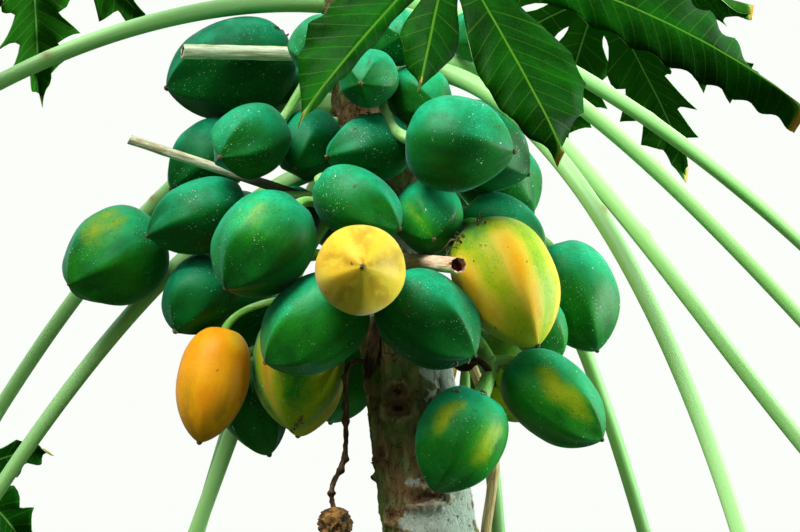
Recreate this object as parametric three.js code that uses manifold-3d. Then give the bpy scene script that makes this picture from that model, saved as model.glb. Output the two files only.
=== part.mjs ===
// A fruiting papaya tree, whole, from the flat cut at the ground to its youngest leaves.
// Millimetres, +Z up. +X is the viewer's right and -Y is towards the viewer of the fullest side.
// The origin is the middle of the cut, at ground level.
import * as THREE from "three";
import { mergeVertices } from "three/addons/utils/BufferGeometryUtils.js";
import Module from "manifold-3d";

const wasm = await Module();
wasm.setup();

// Trunk
const TRUNK_HEIGHT = 2820;
const TRUNK_LEAN = 287; // how far the tip stands to the left of the foot
const TRUNK_BOW = 1.5; // the trunk starts upright and leans more towards its tip
const FOOT_RADIUS = 88;
const NECK_RADIUS = 54; // among the fruit
const NECK_HEIGHT = 2300;
const CROWN_NARROWING = 30; // at the tip, more than the taper's own
const CROWN_POWER = 4;
const FLARE = 38;
const FLARE_HEIGHT = 130;
const TRUNK_SIDES = 14;
const TRUNK_RINGS = 24;
const TRUNK_RING_SPREAD = 1.3; // rings lie closer near the flare

// Clearances between solids that touch on the tree
const SEAT_GAP = 0.3;
const FRUIT_GAP = 2;
const SLIVER = 2; // cubic millimetres, too little to cut away
const SAME_POINT = 1e-3;

// Leaf stalks
const LEAF_STALK_FOOT_RADIUS = 16;
const LEAF_STALK_RADIUS = 12;
const LEAF_STALK_TIP_RADIUS = 9;
const LEAF_STALK_SIDES = 6;
const LEAF_STALK_STEPS = 7;
const LEAF_STALK_SWELL_FADE = 12; // per length

// Leaf blades, as shares of the longest lobe
const BLADE_THICKNESS = 6;
const HUB_THICKNESS = 26; // where the ribs meet over the stalk
// A lobe has its angle from straight ahead, its length and half its width.
const LOBES = [
  [-132, 0.62, 0.12], [-86, 0.82, 0.16], [-43, 0.95, 0.19],
  [0, 1, 0.2],
  [43, 0.95, 0.19], [86, 0.82, 0.16], [132, 0.62, 0.12],
];
// The blade nearest the viewer is torn and uneven.
const UNEVEN_LOBES = {
  leaf_13: [
    [-128, 0.7, 0.13], [-86, 0.9, 0.15], [-43, 0.99, 0.14],
    [-14, 0.54, 0.075],
    [25, 0.88, 0.19], [78, 1.75, 0.26], [125, 0.9, 0.2],
  ],
};
const SINUS_REACH = 0.24;
const REAR_SINUS_REACH = 0.1;
const RIB_REACH = 0.34;
const TOOTH_PLACE = 0.56; // of the lobe's length
const NOTCH_PLACE = 0.62;
const NOTCH_WIDTH = 0.6; // of the lobe's own
const LOBE_FOLD = 0.09; // how far a lobe's edges hang below its rib, as a share of their reach
const SAG_PULL = 0.25;

// Fruit
const FRUIT_SIDES = 10;
const FRUIT_RINGS = 6;
const FRUIT_WIDEST = 0.44; // of the length, from the stalk
const SHOULDER_ROUNDNESS = 2.3;
const TIP_SWELL = 2.2;
const TIP_SHARPNESS = 0.72;
const RIDGE = 0.025;
const RIDGES = 5;
const SHARE_STEPS = 1e5; // so that the poles come out as points
const CROWDING_ROUNDS = 160;
const ENDWAYS_PUSH = 0.3; // how much of a push near a fruit's end is along it
const PEG_SPACING = 10;
const FRUITING_FROM = 1900; // no fruit hang on the trunk below this height

// Fruit stalks
const FRUIT_STALK_RADIUS = 6;
const STOUT_STALKS = { 27: 9 }; // by bunch
const FRUIT_STALK_SIDES = 5;
const FRUIT_STALK_STEPS = 3;
const FRUIT_STALK_BEND = 0.25;
const FRUIT_STALK_SINK = 9;
const ROOT_DEPTH = 14; // how deep a stalk starts in the trunk before it is cut clear
const ROOT_RISE = 10; // above the mean of its fruit's stem ends
const ROOT_LIMIT = 150; // below the trunk's tip
const ROOT_TURN_STEP = 15; // degrees, between the places that are tried
const ROOT_HEIGHT_STEP = 20;
const ROOT_REACH = 9; // steps each way round and up
const ROOT_DROP = 1; // steps down, as fruit hang from above
const CLEAR_STEP = 6; // along a stalk, between the points that are tried
const CLEAR_OF_TRUNK = 30; // along a stalk, from where it must stay out of the trunk
const STEM_END_REACH = 26; // the last of a stalk, which may lie in its own fruit
const SNUG = 4; // how near a stalk may run over its own fruit
const STALK_CLEARANCE = 1.5;
const FORK_REACH = 24; // from the trunk's skin
const FORK_SINK = 4;
const FORK_DROP = 70; // below the root, where a fork hangs away from the trunk

// Stumps and the dry bunch
const STUMP_SIDES = 8;
const BENT_STUMP_STEPS = 6;
const DRY_STALK_STEPS = 9;

const BARK = { color: 0x6b5f45, roughness: 0.9 };
const GREEN_STALK = { color: 0x8fbf6a, roughness: 0.45 };
const GREEN_SKIN = { color: 0x1c6b3c, roughness: 0.4 };
const RIPE_SKIN = { color: 0xe2a428, roughness: 0.42 };
const DRY_STALK = { color: 0xb79a6b, roughness: 0.8 };

// Leaf stalks run in an upright plane that is turned about the trunk: 0 is to the right, 90 is away from
// the viewer. A row has that turn, the height of the stalk's foot, then its shoulder, elbow and hub, each as
// the reach from the trunk's middle and the height, and last the blade's longest lobe, its pitch below level
// and its sag.
const LEAVES = [
  ["leaf_01", -35, 2550, [230, 2560], [450, 2215], [545, 1760], 290, 62, 0.3],
  ["leaf_02", -12, 2590, [260, 2570], [420, 2160], [660, 1900], 280, 60, 0.3],
  ["leaf_03", 12, 2640, [260, 2640], [480, 2390], [810, 2030], 300, 55, 0.3],
  ["leaf_04", 28, 2680, [300, 2660], [560, 2560], [930, 2270], 300, 50, 0.3],
  ["leaf_05", 42, 2490, [260, 2500], [390, 2330], [560, 1840], 270, 62, 0.3],
  ["leaf_06", 183, 2655, [250, 2660], [500, 2560], [740, 2300], 300, 50, 0.3],
  ["leaf_07", 160, 2520, [190, 2540], [370, 2400], [580, 2060], 270, 58, 0.3],
  ["leaf_08", 170, 2440, [160, 2430], [340, 2290], [580, 1880], 250, 65, 0.3],
  ["leaf_09", 150, 2400, [130, 2400], [200, 2130], [430, 1640], 250, 68, 0.3],
  ["leaf_10", 130, 2470, [160, 2480], [270, 2200], [520, 1720], 260, 66, 0.3],
  ["leaf_11", 52, 2430, [150, 2440], [250, 2300], [272, 1700], 270, 66, 0.3],
  ["leaf_12", 205, 2700, [200, 2800], [400, 2830], [620, 2760], 330, 25, 0.3],
  ["leaf_13", -76, 2710, [180, 2780], [370, 2730], [500, 2495], 260, 72, 0.12],
  ["leaf_14", 55, 2720, [200, 2850], [420, 2920], [660, 2880], 330, 20, 0.25],
  ["leaf_15", 140, 2735, [190, 2870], [400, 2960], [640, 2940], 330, 20, 0.25],
  ["leaf_16", -30, 2750, [160, 2900], [340, 2980], [560, 2960], 320, 18, 0.25],
  ["leaf_17", 230, 2760, [140, 2920], [300, 3040], [480, 3060], 300, 14, 0.25],
  ["leaf_18", 92, 2770, [120, 2940], [260, 3100], [440, 3150], 280, 12, 0.25],
  ["leaf_19", 330, 2790, [70, 2960], [130, 3120], [210, 3250], 200, -10, 0.2],
  ["leaf_20", 185, 2800, [60, 2960], [110, 3150], [170, 3330], 170, -25, 0.15],
].map(([name, turn, foot, shoulder, elbow, hub, blade, pitch, sag]) => (
  { name, turn, foot, shoulder, elbow, hub, blade, pitch, sag }
));

// A row has a fruit's bunch, its middle across to the right, deep away from the viewer and high, where its
// tip points, as a turn about the trunk and a dip below level, its length and its width. Fruit with one
// number hang in one bunch.
const FRUITS = [
  [1, [-405, -5, 2560], -174, 19, 172, 130],
  [2, [-303, -150, 2536], -110, 39, 95, 74],
  [3, [-208, -125, 2556], -80, 20, 92, 74],
  [3, [-117, -60, 2572], -75, 29, 85, 64],
  [4, [-239, -165, 2489], -101, 26, 92, 72],
  [4, [-182, -120, 2482], -62, 30, 98, 78],
  [5, [-352, 5, 2378], -150, 39, 92, 72],
  [6, [-454, 20, 2460], -166, 42, 120, 96],
  [7, [-388, -130, 2421], -130, 33, 112, 90],
  [8, [-318, -60, 2439], -116, 49, 105, 82],
  [9, [-241, -125, 2419], -158, 17, 112, 84],
  [10, [-132, -165, 2392], -13, 11, 132, 116],
  [11, [-96, -50, 2427], 4, 32, 130, 108],
  [11, [-73, 55, 2430], 37, 34, 130, 104],
  [12, [-452, -75, 2341], -173, 22, 132, 92],
  [13, [-538, 10, 2296], -148, 35, 142, 124],
  [14, [-366, -170, 2277], -167, 52, 138, 116],
  [15, [-251, -165, 2331], -20, 34, 122, 84],
  [16, [-170, -110, 2332], -82, 42, 112, 86],
  [17, [-59, -30, 2336], -8, 36, 122, 94],
  [18, [2, 20, 2271], 9, 66, 148, 116],
  [19, [-451, -35, 2247], -147, 58, 112, 88],
  [20, [-242, -235, 2224], -87, 12, 138, 104, RIPE_SKIN],
  [21, [-309, -140, 2190], -177, 39, 142, 112],
  [22, [-175, -165, 2194], -11, 40, 138, 108],
  [23, [-73, -120, 2242], -20, 65, 172, 122, RIPE_SKIN],
  [24, [-429, -45, 2141], -178, 79, 146, 88, RIPE_SKIN],
  [25, [-336, -30, 2163], -179, 85, 158, 114, RIPE_SKIN],
  [26, [-321, 115, 2170], 110, 58, 130, 92, RIPE_SKIN],
  [26, [-376, 52, 2132], 53, 59, 125, 84],
  [27, [-17, -60, 2122], -7, 42, 148, 98],
  [27, [-134, -110, 2055], 177, 64, 132, 106],
  [28, [-31, -45, 2206], 21, 53, 95, 72],
  [28, [-125, 60, 2108], 90, 75, 108, 86, RIPE_SKIN],
  [29, [-335, 110, 2558], 110, 25, 125, 98],
  [29, [-190, 150, 2530], 70, 25, 120, 96],
  [30, [-425, 120, 2370], 140, 30, 128, 102],
  [30, [-295, 150, 2410], 95, 30, 128, 102],
  [31, [-140, 165, 2400], 60, 32, 128, 102],
  [31, [-60, 130, 2310], 40, 45, 128, 102],
  [32, [-385, 110, 2262], 130, 45, 132, 104],
  [32, [-250, 200, 2310], 95, 42, 132, 104],
  [33, [-290, 160, 2190], 110, 60, 135, 104],
  [33, [-180, 170, 2210], 75, 55, 132, 102, RIPE_SKIN],
  [34, [-70, 110, 2180], 35, 60, 128, 98],
  [34, [-168, 135, 2085], 90, 70, 128, 98],
].map(([bunch, at, turn, dip, length, width, skin = GREEN_SKIN]) => (
  { bunch, turn, dip, length, width, skin, middle: new THREE.Vector3(...at) }
));

// Where a bunch's stalk forks, if that is away from the trunk.
const FORKS = { 27: [-94, -60, 2160] };

// Stumps of old leaf stalks, each with its radius and its path from inside the trunk to its broken end.
const STUMPS = [
  ["stump_top", 9, [-250, -20, 2575], [-476, -95, 2552]],
  ["stump_left", 6, [-215, -30, 2345], [-541, -70, 2445]],
  ["stump_hollow", 9.5, [-205, -30, 2300], [-134, -200, 2247]],
  ["stump_hanging", 6.5, [-185, 20, 2260], [-118, 38, 2190], [-86, 32, 2080], [-98, 26, 1960],
    [-106, 25, 1850]],
].map(([name, radius, ...path]) => ({
  name,
  radius,
  curve: new THREE.CatmullRomCurve3(path.map((at) => new THREE.Vector3(...at))),
  steps: path.length > 2 ? BENT_STUMP_STEPS : 1,
}));

// A dead bunch: an old stalk that lies down along the trunk, and a thin one with a shrivelled fruit.
const DRY_STUB = { foot: [-222, -30, 2250], end: [-243, -57, 2143], radius: 8 };
const DRY_STALK_PATH = [[-225, -40, 2165], [-264, -68, 2158], [-268, -76, 2105], [-269, -78, 2046],
  [-284, -80, 2004], [-281, -80, 1975]];
const DRY_STALK_RADIUS = 3.5;
const DRY_FRUIT = { turn: 0, dip: 88, length: 46, width: 40, middle: new THREE.Vector3(-280, -80, 1959) };

const DEGREE = Math.PI / 180;
const UP = new THREE.Vector3(0, 0, 1);

function solidOf(geometry) {
  const bare = geometry.clone();
  bare.deleteAttribute("normal");
  bare.deleteAttribute("uv");
  const merged = mergeVertices(bare, SAME_POINT);
  return new wasm.Manifold(new wasm.Mesh({
    numProp: 3,
    vertProperties: merged.attributes.position.array,
    triVerts: new Uint32Array(merged.index.array),
  }));
}

function meshOf(name, solid, look) {
  const { vertProperties, triVerts } = solid.getMesh();
  const geometry = new THREE.BufferGeometry();
  geometry.setAttribute("position", new THREE.BufferAttribute(vertProperties, 3));
  geometry.setIndex(new THREE.BufferAttribute(triVerts, 1));
  geometry.computeVertexNormals();
  const mesh = new THREE.Mesh(geometry, new THREE.MeshStandardMaterial(look));
  mesh.name = name;
  return mesh;
}

function trunkMiddle(height) {
  return new THREE.Vector3(-TRUNK_LEAN * (Math.max(height, 0) / TRUNK_HEIGHT) ** TRUNK_BOW, 0, height);
}

function trunkRadius(height) {
  const taper = FOOT_RADIUS + (NECK_RADIUS - FOOT_RADIUS) * (height / NECK_HEIGHT);
  const crown = Math.max(0, (height - NECK_HEIGHT) / (TRUNK_HEIGHT - NECK_HEIGHT));
  return taper - CROWN_NARROWING * crown ** CROWN_POWER + FLARE * Math.exp(-height / FLARE_HEIGHT);
}

// The trunk, level ring on level ring, so that its foot is cut flat. A sleeve is the same with more radius.
function trunkGeometry(extra) {
  const geometry = new THREE.CylinderGeometry(1, 1, 1, TRUNK_SIDES, TRUNK_RINGS);
  geometry.rotateX(Math.PI / 2);
  const place = geometry.attributes.position;
  for (let i = 0; i < place.count; i += 1) {
    const share = Math.round((place.getZ(i) + 0.5) * TRUNK_RINGS) / TRUNK_RINGS;
    const height = TRUNK_HEIGHT * share ** TRUNK_RING_SPREAD;
    const middle = trunkMiddle(height);
    const radius = trunkRadius(height) + extra;
    place.setXYZ(i, middle.x + place.getX(i) * radius, middle.y + place.getY(i) * radius, height);
  }
  return geometry;
}

// A round limb of any radius along a curve, closed at both ends.
function limb(curve, radiusAt, sides, steps) {
  const geometry = new THREE.CylinderGeometry(1, 1, 1, sides, steps);
  const frames = curve.computeFrenetFrames(steps);
  const place = geometry.attributes.position;
  for (let i = 0; i < place.count; i += 1) {
    const step = Math.round((0.5 - place.getY(i)) * steps);
    const radius = radiusAt(step / steps);
    const at = curve.getPointAt(step / steps)
      .addScaledVector(frames.normals[step], place.getX(i) * radius)
      .addScaledVector(frames.binormals[step], place.getZ(i) * radius);
    place.setXYZ(i, at.x, at.y, at.z);
  }
  return geometry;
}

function heading(turn) {
  return new THREE.Vector3(Math.cos(turn * DEGREE), Math.sin(turn * DEGREE), 0);
}

function leafStalkCurve(leaf) {
  const out = heading(leaf.turn);
  const point = ([reach, height]) => trunkMiddle(leaf.foot).setZ(height).addScaledVector(out, reach);
  const foot = point([trunkRadius(leaf.foot) - ROOT_DEPTH, leaf.foot]);
  return new THREE.CubicBezierCurve3(foot, point(leaf.shoulder), point(leaf.elbow), point(leaf.hub));
}

function leafStalkRadius(share) {
  const swell = (LEAF_STALK_FOOT_RADIUS - LEAF_STALK_RADIUS) * Math.exp(-share * LEAF_STALK_SWELL_FADE);
  return THREE.MathUtils.lerp(LEAF_STALK_RADIUS, LEAF_STALK_TIP_RADIUS, share) + swell;
}

// The lobed outline of a blade on its own plane, lobe by lobe, anticlockwise from above.
function bladePlan(lobes) {
  const points = [[0, 0]];
  const rings = [];
  const last = lobes.length - 1;
  const add = (reach, angle) => {
    points.push([reach * Math.cos(angle * DEGREE), reach * Math.sin(angle * DEGREE)]);
    return points.length - 1;
  };
  const local = (along, across, angle) => (
    add(Math.hypot(along, across), angle + Math.atan2(across, along) / DEGREE)
  );
  const rear = add(REAR_SINUS_REACH, 180);
  lobes.forEach(([angle, length, width], k) => {
    const ring = {
      right: k === 0 ? rear : rings[k - 1].left,
      toothRight: local(TOOTH_PLACE * length, -width, angle),
      notchRight: local(NOTCH_PLACE * length, -NOTCH_WIDTH * width, angle),
      tip: local(length, 0, angle),
      notchLeft: local(NOTCH_PLACE * length, NOTCH_WIDTH * width, angle),
      toothLeft: local(TOOTH_PLACE * length, width, angle),
      rib: local(RIB_REACH * length, 0, angle),
    };
    ring.left = k === last ? rear : add(SINUS_REACH, (angle + lobes[k + 1][0]) / 2);
    rings.push(ring);
  });
  return { points, rings };
}

function bladeGeometry(leaf, hub) {
  const { points, rings } = bladePlan(UNEVEN_LOBES[leaf.name] ?? LOBES);
  const out = heading(leaf.turn);
  const pitch = leaf.pitch * DEGREE;
  const ahead = out.clone().multiplyScalar(Math.cos(pitch)).addScaledVector(UP, -Math.sin(pitch));
  const aside = UP.clone().cross(out);
  const normal = ahead.clone().cross(aside);
  const onRib = new Set([0, ...rings.flatMap((ring) => [ring.rib, ring.tip])]);
  const middle = points.map(([x, y], i) => {
    const reach = Math.hypot(x, y);
    const fold = onRib.has(i) ? 0 : LOBE_FOLD * reach;
    const pull = 1 - SAG_PULL * leaf.sag * reach ** 2;
    return hub.clone()
      .addScaledVector(ahead, x * pull * leaf.blade)
      .addScaledVector(aside, y * pull * leaf.blade)
      .addScaledVector(normal, -fold * leaf.blade)
      .addScaledVector(UP, -leaf.sag * reach ** 2 * leaf.blade);
  });
  const top = rings.flatMap((ring) => [
    [0, ring.right, ring.rib], [0, ring.rib, ring.left],
    [ring.right, ring.toothRight, ring.notchRight], [ring.right, ring.notchRight, ring.rib],
    [ring.rib, ring.notchRight, ring.tip], [ring.rib, ring.tip, ring.notchLeft],
    [ring.left, ring.rib, ring.notchLeft], [ring.left, ring.notchLeft, ring.toothLeft],
  ]);
  const edge = rings.flatMap((ring) => [
    ring.right, ring.toothRight, ring.notchRight, ring.tip, ring.notchLeft, ring.toothLeft,
  ]);
  const normals = middle.map(() => new THREE.Vector3());
  for (const [a, b, c] of top) {
    const ab = middle[b].clone().sub(middle[a]);
    const ac = middle[c].clone().sub(middle[a]);
    const face = ab.cross(ac);
    [a, b, c].forEach((i) => normals[i].add(face));
  }
  const off = (side) => middle.map((p, i) => {
    const thickness = i === 0 ? HUB_THICKNESS : BLADE_THICKNESS;
    return p.clone().addScaledVector(normals[i].normalize(), side * thickness / 2);
  });
  const under = middle.length;
  const index = top.flatMap(([a, b, c]) => [a, b, c, under + a, under + c, under + b]);
  edge.forEach((a, k) => {
    const b = edge[(k + 1) % edge.length];
    index.push(a, under + a, under + b, a, under + b, b);
  });
  const geometry = new THREE.BufferGeometry().setFromPoints([...off(1), ...off(-1)]);
  geometry.setIndex(index);
  return geometry;
}

function leafSolid(leaf, sleeve) {
  const curve = leafStalkCurve(leaf);
  const stalk = solidOf(limb(curve, leafStalkRadius, LEAF_STALK_SIDES, LEAF_STALK_STEPS));
  return stalk.subtract(sleeve).add(solidOf(bladeGeometry(leaf, leaf.hubPoint)));
}

// Cuts one solid clear of another, unless they barely touch.
function cutClear(solid, other) {
  return solid.intersect(other).volume() < SLIVER ? solid : solid.subtract(other);
}

// A fruit's half width at a share of its length from the stalk, as a share of its widest.
function fruitProfile(unclamped) {
  const share = THREE.MathUtils.clamp(unclamped, 0, 1);
  if (share < FRUIT_WIDEST) {
    const back = (FRUIT_WIDEST - share) / FRUIT_WIDEST;
    return (1 - back ** SHOULDER_ROUNDNESS) ** (1 / SHOULDER_ROUNDNESS);
  }
  const ahead = (share - FRUIT_WIDEST) / (1 - FRUIT_WIDEST);
  return (1 - ahead ** TIP_SWELL) ** TIP_SHARPNESS;
}

function fruitAxis(fruit) {
  const dip = fruit.dip * DEGREE;
  return heading(fruit.turn).multiplyScalar(Math.cos(dip)).addScaledVector(UP, -Math.sin(dip));
}

// A fruit from a sphere: its poles are the stalk's end and the tip, and it has five soft ridges.
function fruitGeometry(fruit) {
  const geometry = new THREE.SphereGeometry(1, FRUIT_SIDES, FRUIT_RINGS);
  const place = geometry.attributes.position;
  for (let i = 0; i < place.count; i += 1) {
    const share = Math.round((1 - place.getY(i)) / 2 * SHARE_STEPS) / SHARE_STEPS;
    const angle = Math.atan2(place.getZ(i), place.getX(i));
    const edge = fruitProfile(share) * (1 + RIDGE * Math.cos(RIDGES * angle));
    const radius = edge * fruit.width / 2;
    place.setXYZ(i, Math.cos(angle) * radius, (0.5 - share) * fruit.length, Math.sin(angle) * radius);
  }
  const turned = new THREE.Quaternion().setFromUnitVectors(new THREE.Vector3(0, -1, 0), fruitAxis(fruit));
  geometry.applyQuaternion(turned);
  geometry.translate(...fruit.middle.toArray());
  return geometry;
}

// How deep a point lies in a fruit, and the way out. A negative depth is a clearance.
function depthIn(fruit, point) {
  const axis = fruitAxis(fruit);
  const from = point.clone().sub(fruit.middle);
  const along = from.dot(axis);
  const share = THREE.MathUtils.clamp(along / fruit.length + 0.5, 0, 1);
  const out = from.addScaledVector(axis, -along);
  const off = out.length();
  const beyond = Math.max(0, Math.abs(along) - fruit.length / 2);
  const depth = fruitProfile(share) * fruit.width / 2 - off - beyond;
  return { depth, out: out.addScaledVector(axis, ENDWAYS_PUSH * along).normalize() };
}

// Points all over a fruit's skin.
function skinPoints(fruit) {
  const place = fruitGeometry(fruit).attributes.position;
  return Array.from({ length: place.count }, (_, i) => new THREE.Vector3().fromBufferAttribute(place, i));
}

// Crowded fruit push each other, and the stalks and trunk push them, until they only touch.
function crowd(fruits, pegs) {
  for (let round = 0; round < CROWDING_ROUNDS; round += 1) {
    for (const fruit of fruits) {
      const skin = skinPoints(fruit);
      for (const other of fruits) {
        const near = (fruit.length + other.length) / 2;
        if (other === fruit || fruit.middle.distanceTo(other.middle) > near) continue;
        let deepest = { depth: -FRUIT_GAP };
        for (const point of skin) {
          const hit = depthIn(other, point);
          if (hit.depth > deepest.depth) deepest = hit;
        }
        const push = (deepest.depth + FRUIT_GAP) / 2;
        if (push <= 0) continue;
        fruit.middle.addScaledVector(deepest.out, push);
        other.middle.addScaledVector(deepest.out, -push);
        skin.forEach((point) => point.addScaledVector(deepest.out, push));
      }
      for (const peg of pegs) {
        const hit = depthIn(fruit, peg.at);
        const push = hit.depth + peg.radius + FRUIT_GAP;
        if (push > 0) fruit.middle.addScaledVector(hit.out, -push);
      }
    }
  }
}

function stemEnd(fruit) {
  return fruit.middle.clone().addScaledVector(fruitAxis(fruit), -fruit.length / 2);
}

// A smooth stalk from a start in its own direction to an end along an axis.
function stalkCurve(start, end, axis) {
  const handle = start.at.distanceTo(end) * FRUIT_STALK_BEND;
  return new THREE.CubicBezierCurve3(
    start.at,
    start.at.clone().addScaledVector(start.out, handle),
    end.clone().addScaledVector(axis, -handle),
    end.clone().addScaledVector(axis, FRUIT_STALK_SINK),
  );
}

// Where a stalk leaves the trunk, and its direction there.
function rootAt(turn, height) {
  const out = heading(turn);
  return { at: trunkMiddle(height).addScaledVector(out, trunkRadius(height) - ROOT_DEPTH), out };
}

// The places on the trunk where a bunch's stalk could leave it, the nearest to its fruit first.
function rootChoices(mean) {
  const highest = TRUNK_HEIGHT - ROOT_LIMIT;
  const level = Math.min(mean.z + ROOT_RISE, highest);
  const facing = Math.atan2(mean.y, mean.x - trunkMiddle(level).x) / DEGREE;
  const choices = [];
  for (let across = -ROOT_REACH; across <= ROOT_REACH; across += 1) {
    for (let up = -ROOT_DROP; up <= ROOT_REACH; up += 1) {
      const height = Math.min(level + up * ROOT_HEIGHT_STEP, highest);
      choices.push({ off: Math.hypot(across, up), root: rootAt(facing + across * ROOT_TURN_STEP, height) });
    }
  }
  return choices.sort((a, b) => a.off - b.off).map((choice) => choice.root);
}

// One fruit has one stalk. More fruit share a neck from the trunk to a fork, and each has a stalk from there.
function stalksFrom(root, bunch, fruits) {
  const stalkTo = (from, fruit) => ({ fruit, curve: stalkCurve(from, stemEnd(fruit), fruitAxis(fruit)) });
  if (fruits.length === 1) return [stalkTo(root, fruits[0])];
  const away = bunch in FORKS;
  const fork = away
    ? new THREE.Vector3(...FORKS[bunch])
    : root.at.clone().addScaledVector(root.out, ROOT_DEPTH + FORK_REACH);
  const out = away ? UP.clone().negate() : root.out;
  const from = { at: fork.clone().addScaledVector(out, -FORK_SINK), out };
  const neck = { fruit: null, curve: stalkCurve(root, fork, out) };
  return [neck, ...fruits.map((fruit) => stalkTo(from, fruit))];
}

// How deep a bunch's stalks run into anything at worst. A negative depth is a clearance.
function deepestHit(stalks, radius, obstacles, enough) {
  let deepest = -Infinity;
  for (const { fruit, curve } of stalks) {
    const length = curve.getLength();
    for (let gone = CLEAR_STEP; gone < length && deepest < enough; gone += CLEAR_STEP) {
      const at = curve.getPointAt(gone / length);
      const hits = [
        ...FRUITS.filter((other) => other !== fruit || length - gone > STEM_END_REACH)
          .map((other) => depthIn(other, at).depth + radius - (other === fruit ? SNUG : 0)),
        ...obstacles.map((peg) => peg.radius + radius - peg.at.distanceTo(at)),
      ];
      if (gone > CLEAR_OF_TRUNK) hits.push(trunkRadius(at.z) - trunkMiddle(at.z).distanceTo(at));
      deepest = Math.max(deepest, ...hits);
    }
  }
  return deepest;
}

// A bunch's stalks from the nearest place on the trunk that lets them run clear, or else nearly clear.
function bunchStalks(bunch, fruits, radius, obstacles) {
  const mean = bunch in FORKS
    ? new THREE.Vector3(...FORKS[bunch]).addScaledVector(UP, FORK_DROP)
    : fruits.map(stemEnd).reduce((sum, end) => sum.add(end)).divideScalar(fruits.length);
  let best = { hit: Infinity };
  for (const root of rootChoices(mean)) {
    const stalks = stalksFrom(root, bunch, fruits);
    const hit = deepestHit(stalks, radius, obstacles, best.hit);
    if (hit < best.hit) best = { hit, stalks };
    if (best.hit < -STALK_CLEARANCE) break;
  }
  return best.stalks.map((stalk) => stalk.curve);
}

const group = new THREE.Group();

const trunk = solidOf(trunkGeometry(0));
const sleeve = solidOf(trunkGeometry(SEAT_GAP));
group.add(meshOf("trunk", trunk, BARK));

for (const leaf of LEAVES) {
  leaf.hubPoint = leafStalkCurve(leaf).getPoint(1);
  group.add(meshOf(leaf.name, leafSolid(leaf, sleeve), GREEN_STALK));
}

for (const stump of STUMPS) {
  const solid = solidOf(limb(stump.curve, () => stump.radius, STUMP_SIDES, stump.steps)).subtract(sleeve);
  group.add(meshOf(stump.name, solid, DRY_STALK));
}

const dryStub = new THREE.LineCurve3(new THREE.Vector3(...DRY_STUB.foot), new THREE.Vector3(...DRY_STUB.end));
const dryStalk = new THREE.CatmullRomCurve3(DRY_STALK_PATH.map((at) => new THREE.Vector3(...at)));
const dryBunch = solidOf(limb(dryStub, () => DRY_STUB.radius, STUMP_SIDES, 1))
  .add(solidOf(limb(dryStalk, () => DRY_STALK_RADIUS, FRUIT_STALK_SIDES, DRY_STALK_STEPS)))
  .subtract(sleeve)
  .add(solidOf(fruitGeometry(DRY_FRUIT)));
group.add(meshOf("dry_bunch", dryBunch, DRY_STALK));

// Balls along everything that the fruit must keep clear of.
function pegsAlong(curve, radiusAt, spacing = PEG_SPACING) {
  const count = Math.ceil(curve.getLength() / spacing);
  return Array.from({ length: count + 1 }, (_, i) => (
    { at: curve.getPointAt(i / count), radius: radiusAt(i / count) }
  ));
}

const pegs = [
  ...LEAVES.flatMap((leaf) => pegsAlong(leafStalkCurve(leaf), leafStalkRadius)),
  ...STUMPS.flatMap((stump) => pegsAlong(stump.curve, () => stump.radius)),
  ...pegsAlong(dryStub, () => DRY_STUB.radius),
  ...pegsAlong(dryStalk, () => DRY_STALK_RADIUS),
];
const trunkPegs = [];
for (let height = FRUITING_FROM; height <= TRUNK_HEIGHT; height += PEG_SPACING) {
  trunkPegs.push({ at: trunkMiddle(height), radius: trunkRadius(height) });
}

crowd(FRUITS, [...pegs, ...trunkPegs]);

const stalkSleeves = [
  ...LEAVES.map((leaf) => limb(leafStalkCurve(leaf), (share) => leafStalkRadius(share) + SEAT_GAP,
    LEAF_STALK_SIDES, LEAF_STALK_STEPS)),
  ...STUMPS.map((stump) => limb(stump.curve, () => stump.radius + SEAT_GAP, STUMP_SIDES, stump.steps)),
].map(solidOf).reduce((sum, stalk) => sum.add(stalk));

const obstacles = [...pegs];
const bunches = [...new Set(FRUITS.map((fruit) => fruit.bunch))].map((number) => {
  const fruits = FRUITS.filter((fruit) => fruit.bunch === number);
  const radius = STOUT_STALKS[number] ?? FRUIT_STALK_RADIUS;
  const curves = bunchStalks(number, fruits, radius, obstacles);
  obstacles.push(...curves.flatMap((curve) => pegsAlong(curve, () => radius, CLEAR_STEP)));
  const stalksOf = (thickness) => curves
    .map((curve) => solidOf(limb(curve, () => thickness, FRUIT_STALK_SIDES, FRUIT_STALK_STEPS)))
    .reduce((sum, stalk) => sum.add(stalk));
  const around = stalksOf(radius + SEAT_GAP);
  return { number, fruits, stalks: stalksOf(radius), around };
});

for (const { number, fruits, stalks } of bunches) {
  const bodies = fruits.map((fruit) => solidOf(fruitGeometry(fruit))).reduce((sum, body) => sum.add(body));
  const others = bunches.filter((bunch) => bunch.number !== number).map((bunch) => bunch.around);
  const earlier = others.slice(0, number - 1);
  const whole = [...others, stalkSleeves].reduce(cutClear, bodies)
    .add([...earlier, stalkSleeves, sleeve].reduce(cutClear, stalks));
  group.add(meshOf(`fruit_${String(number).padStart(2, "0")}`, whole, fruits[0].skin));
}

export default group;
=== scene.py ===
import math
import random

import bmesh
import bpy
import numpy as np
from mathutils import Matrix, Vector, noise


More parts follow.
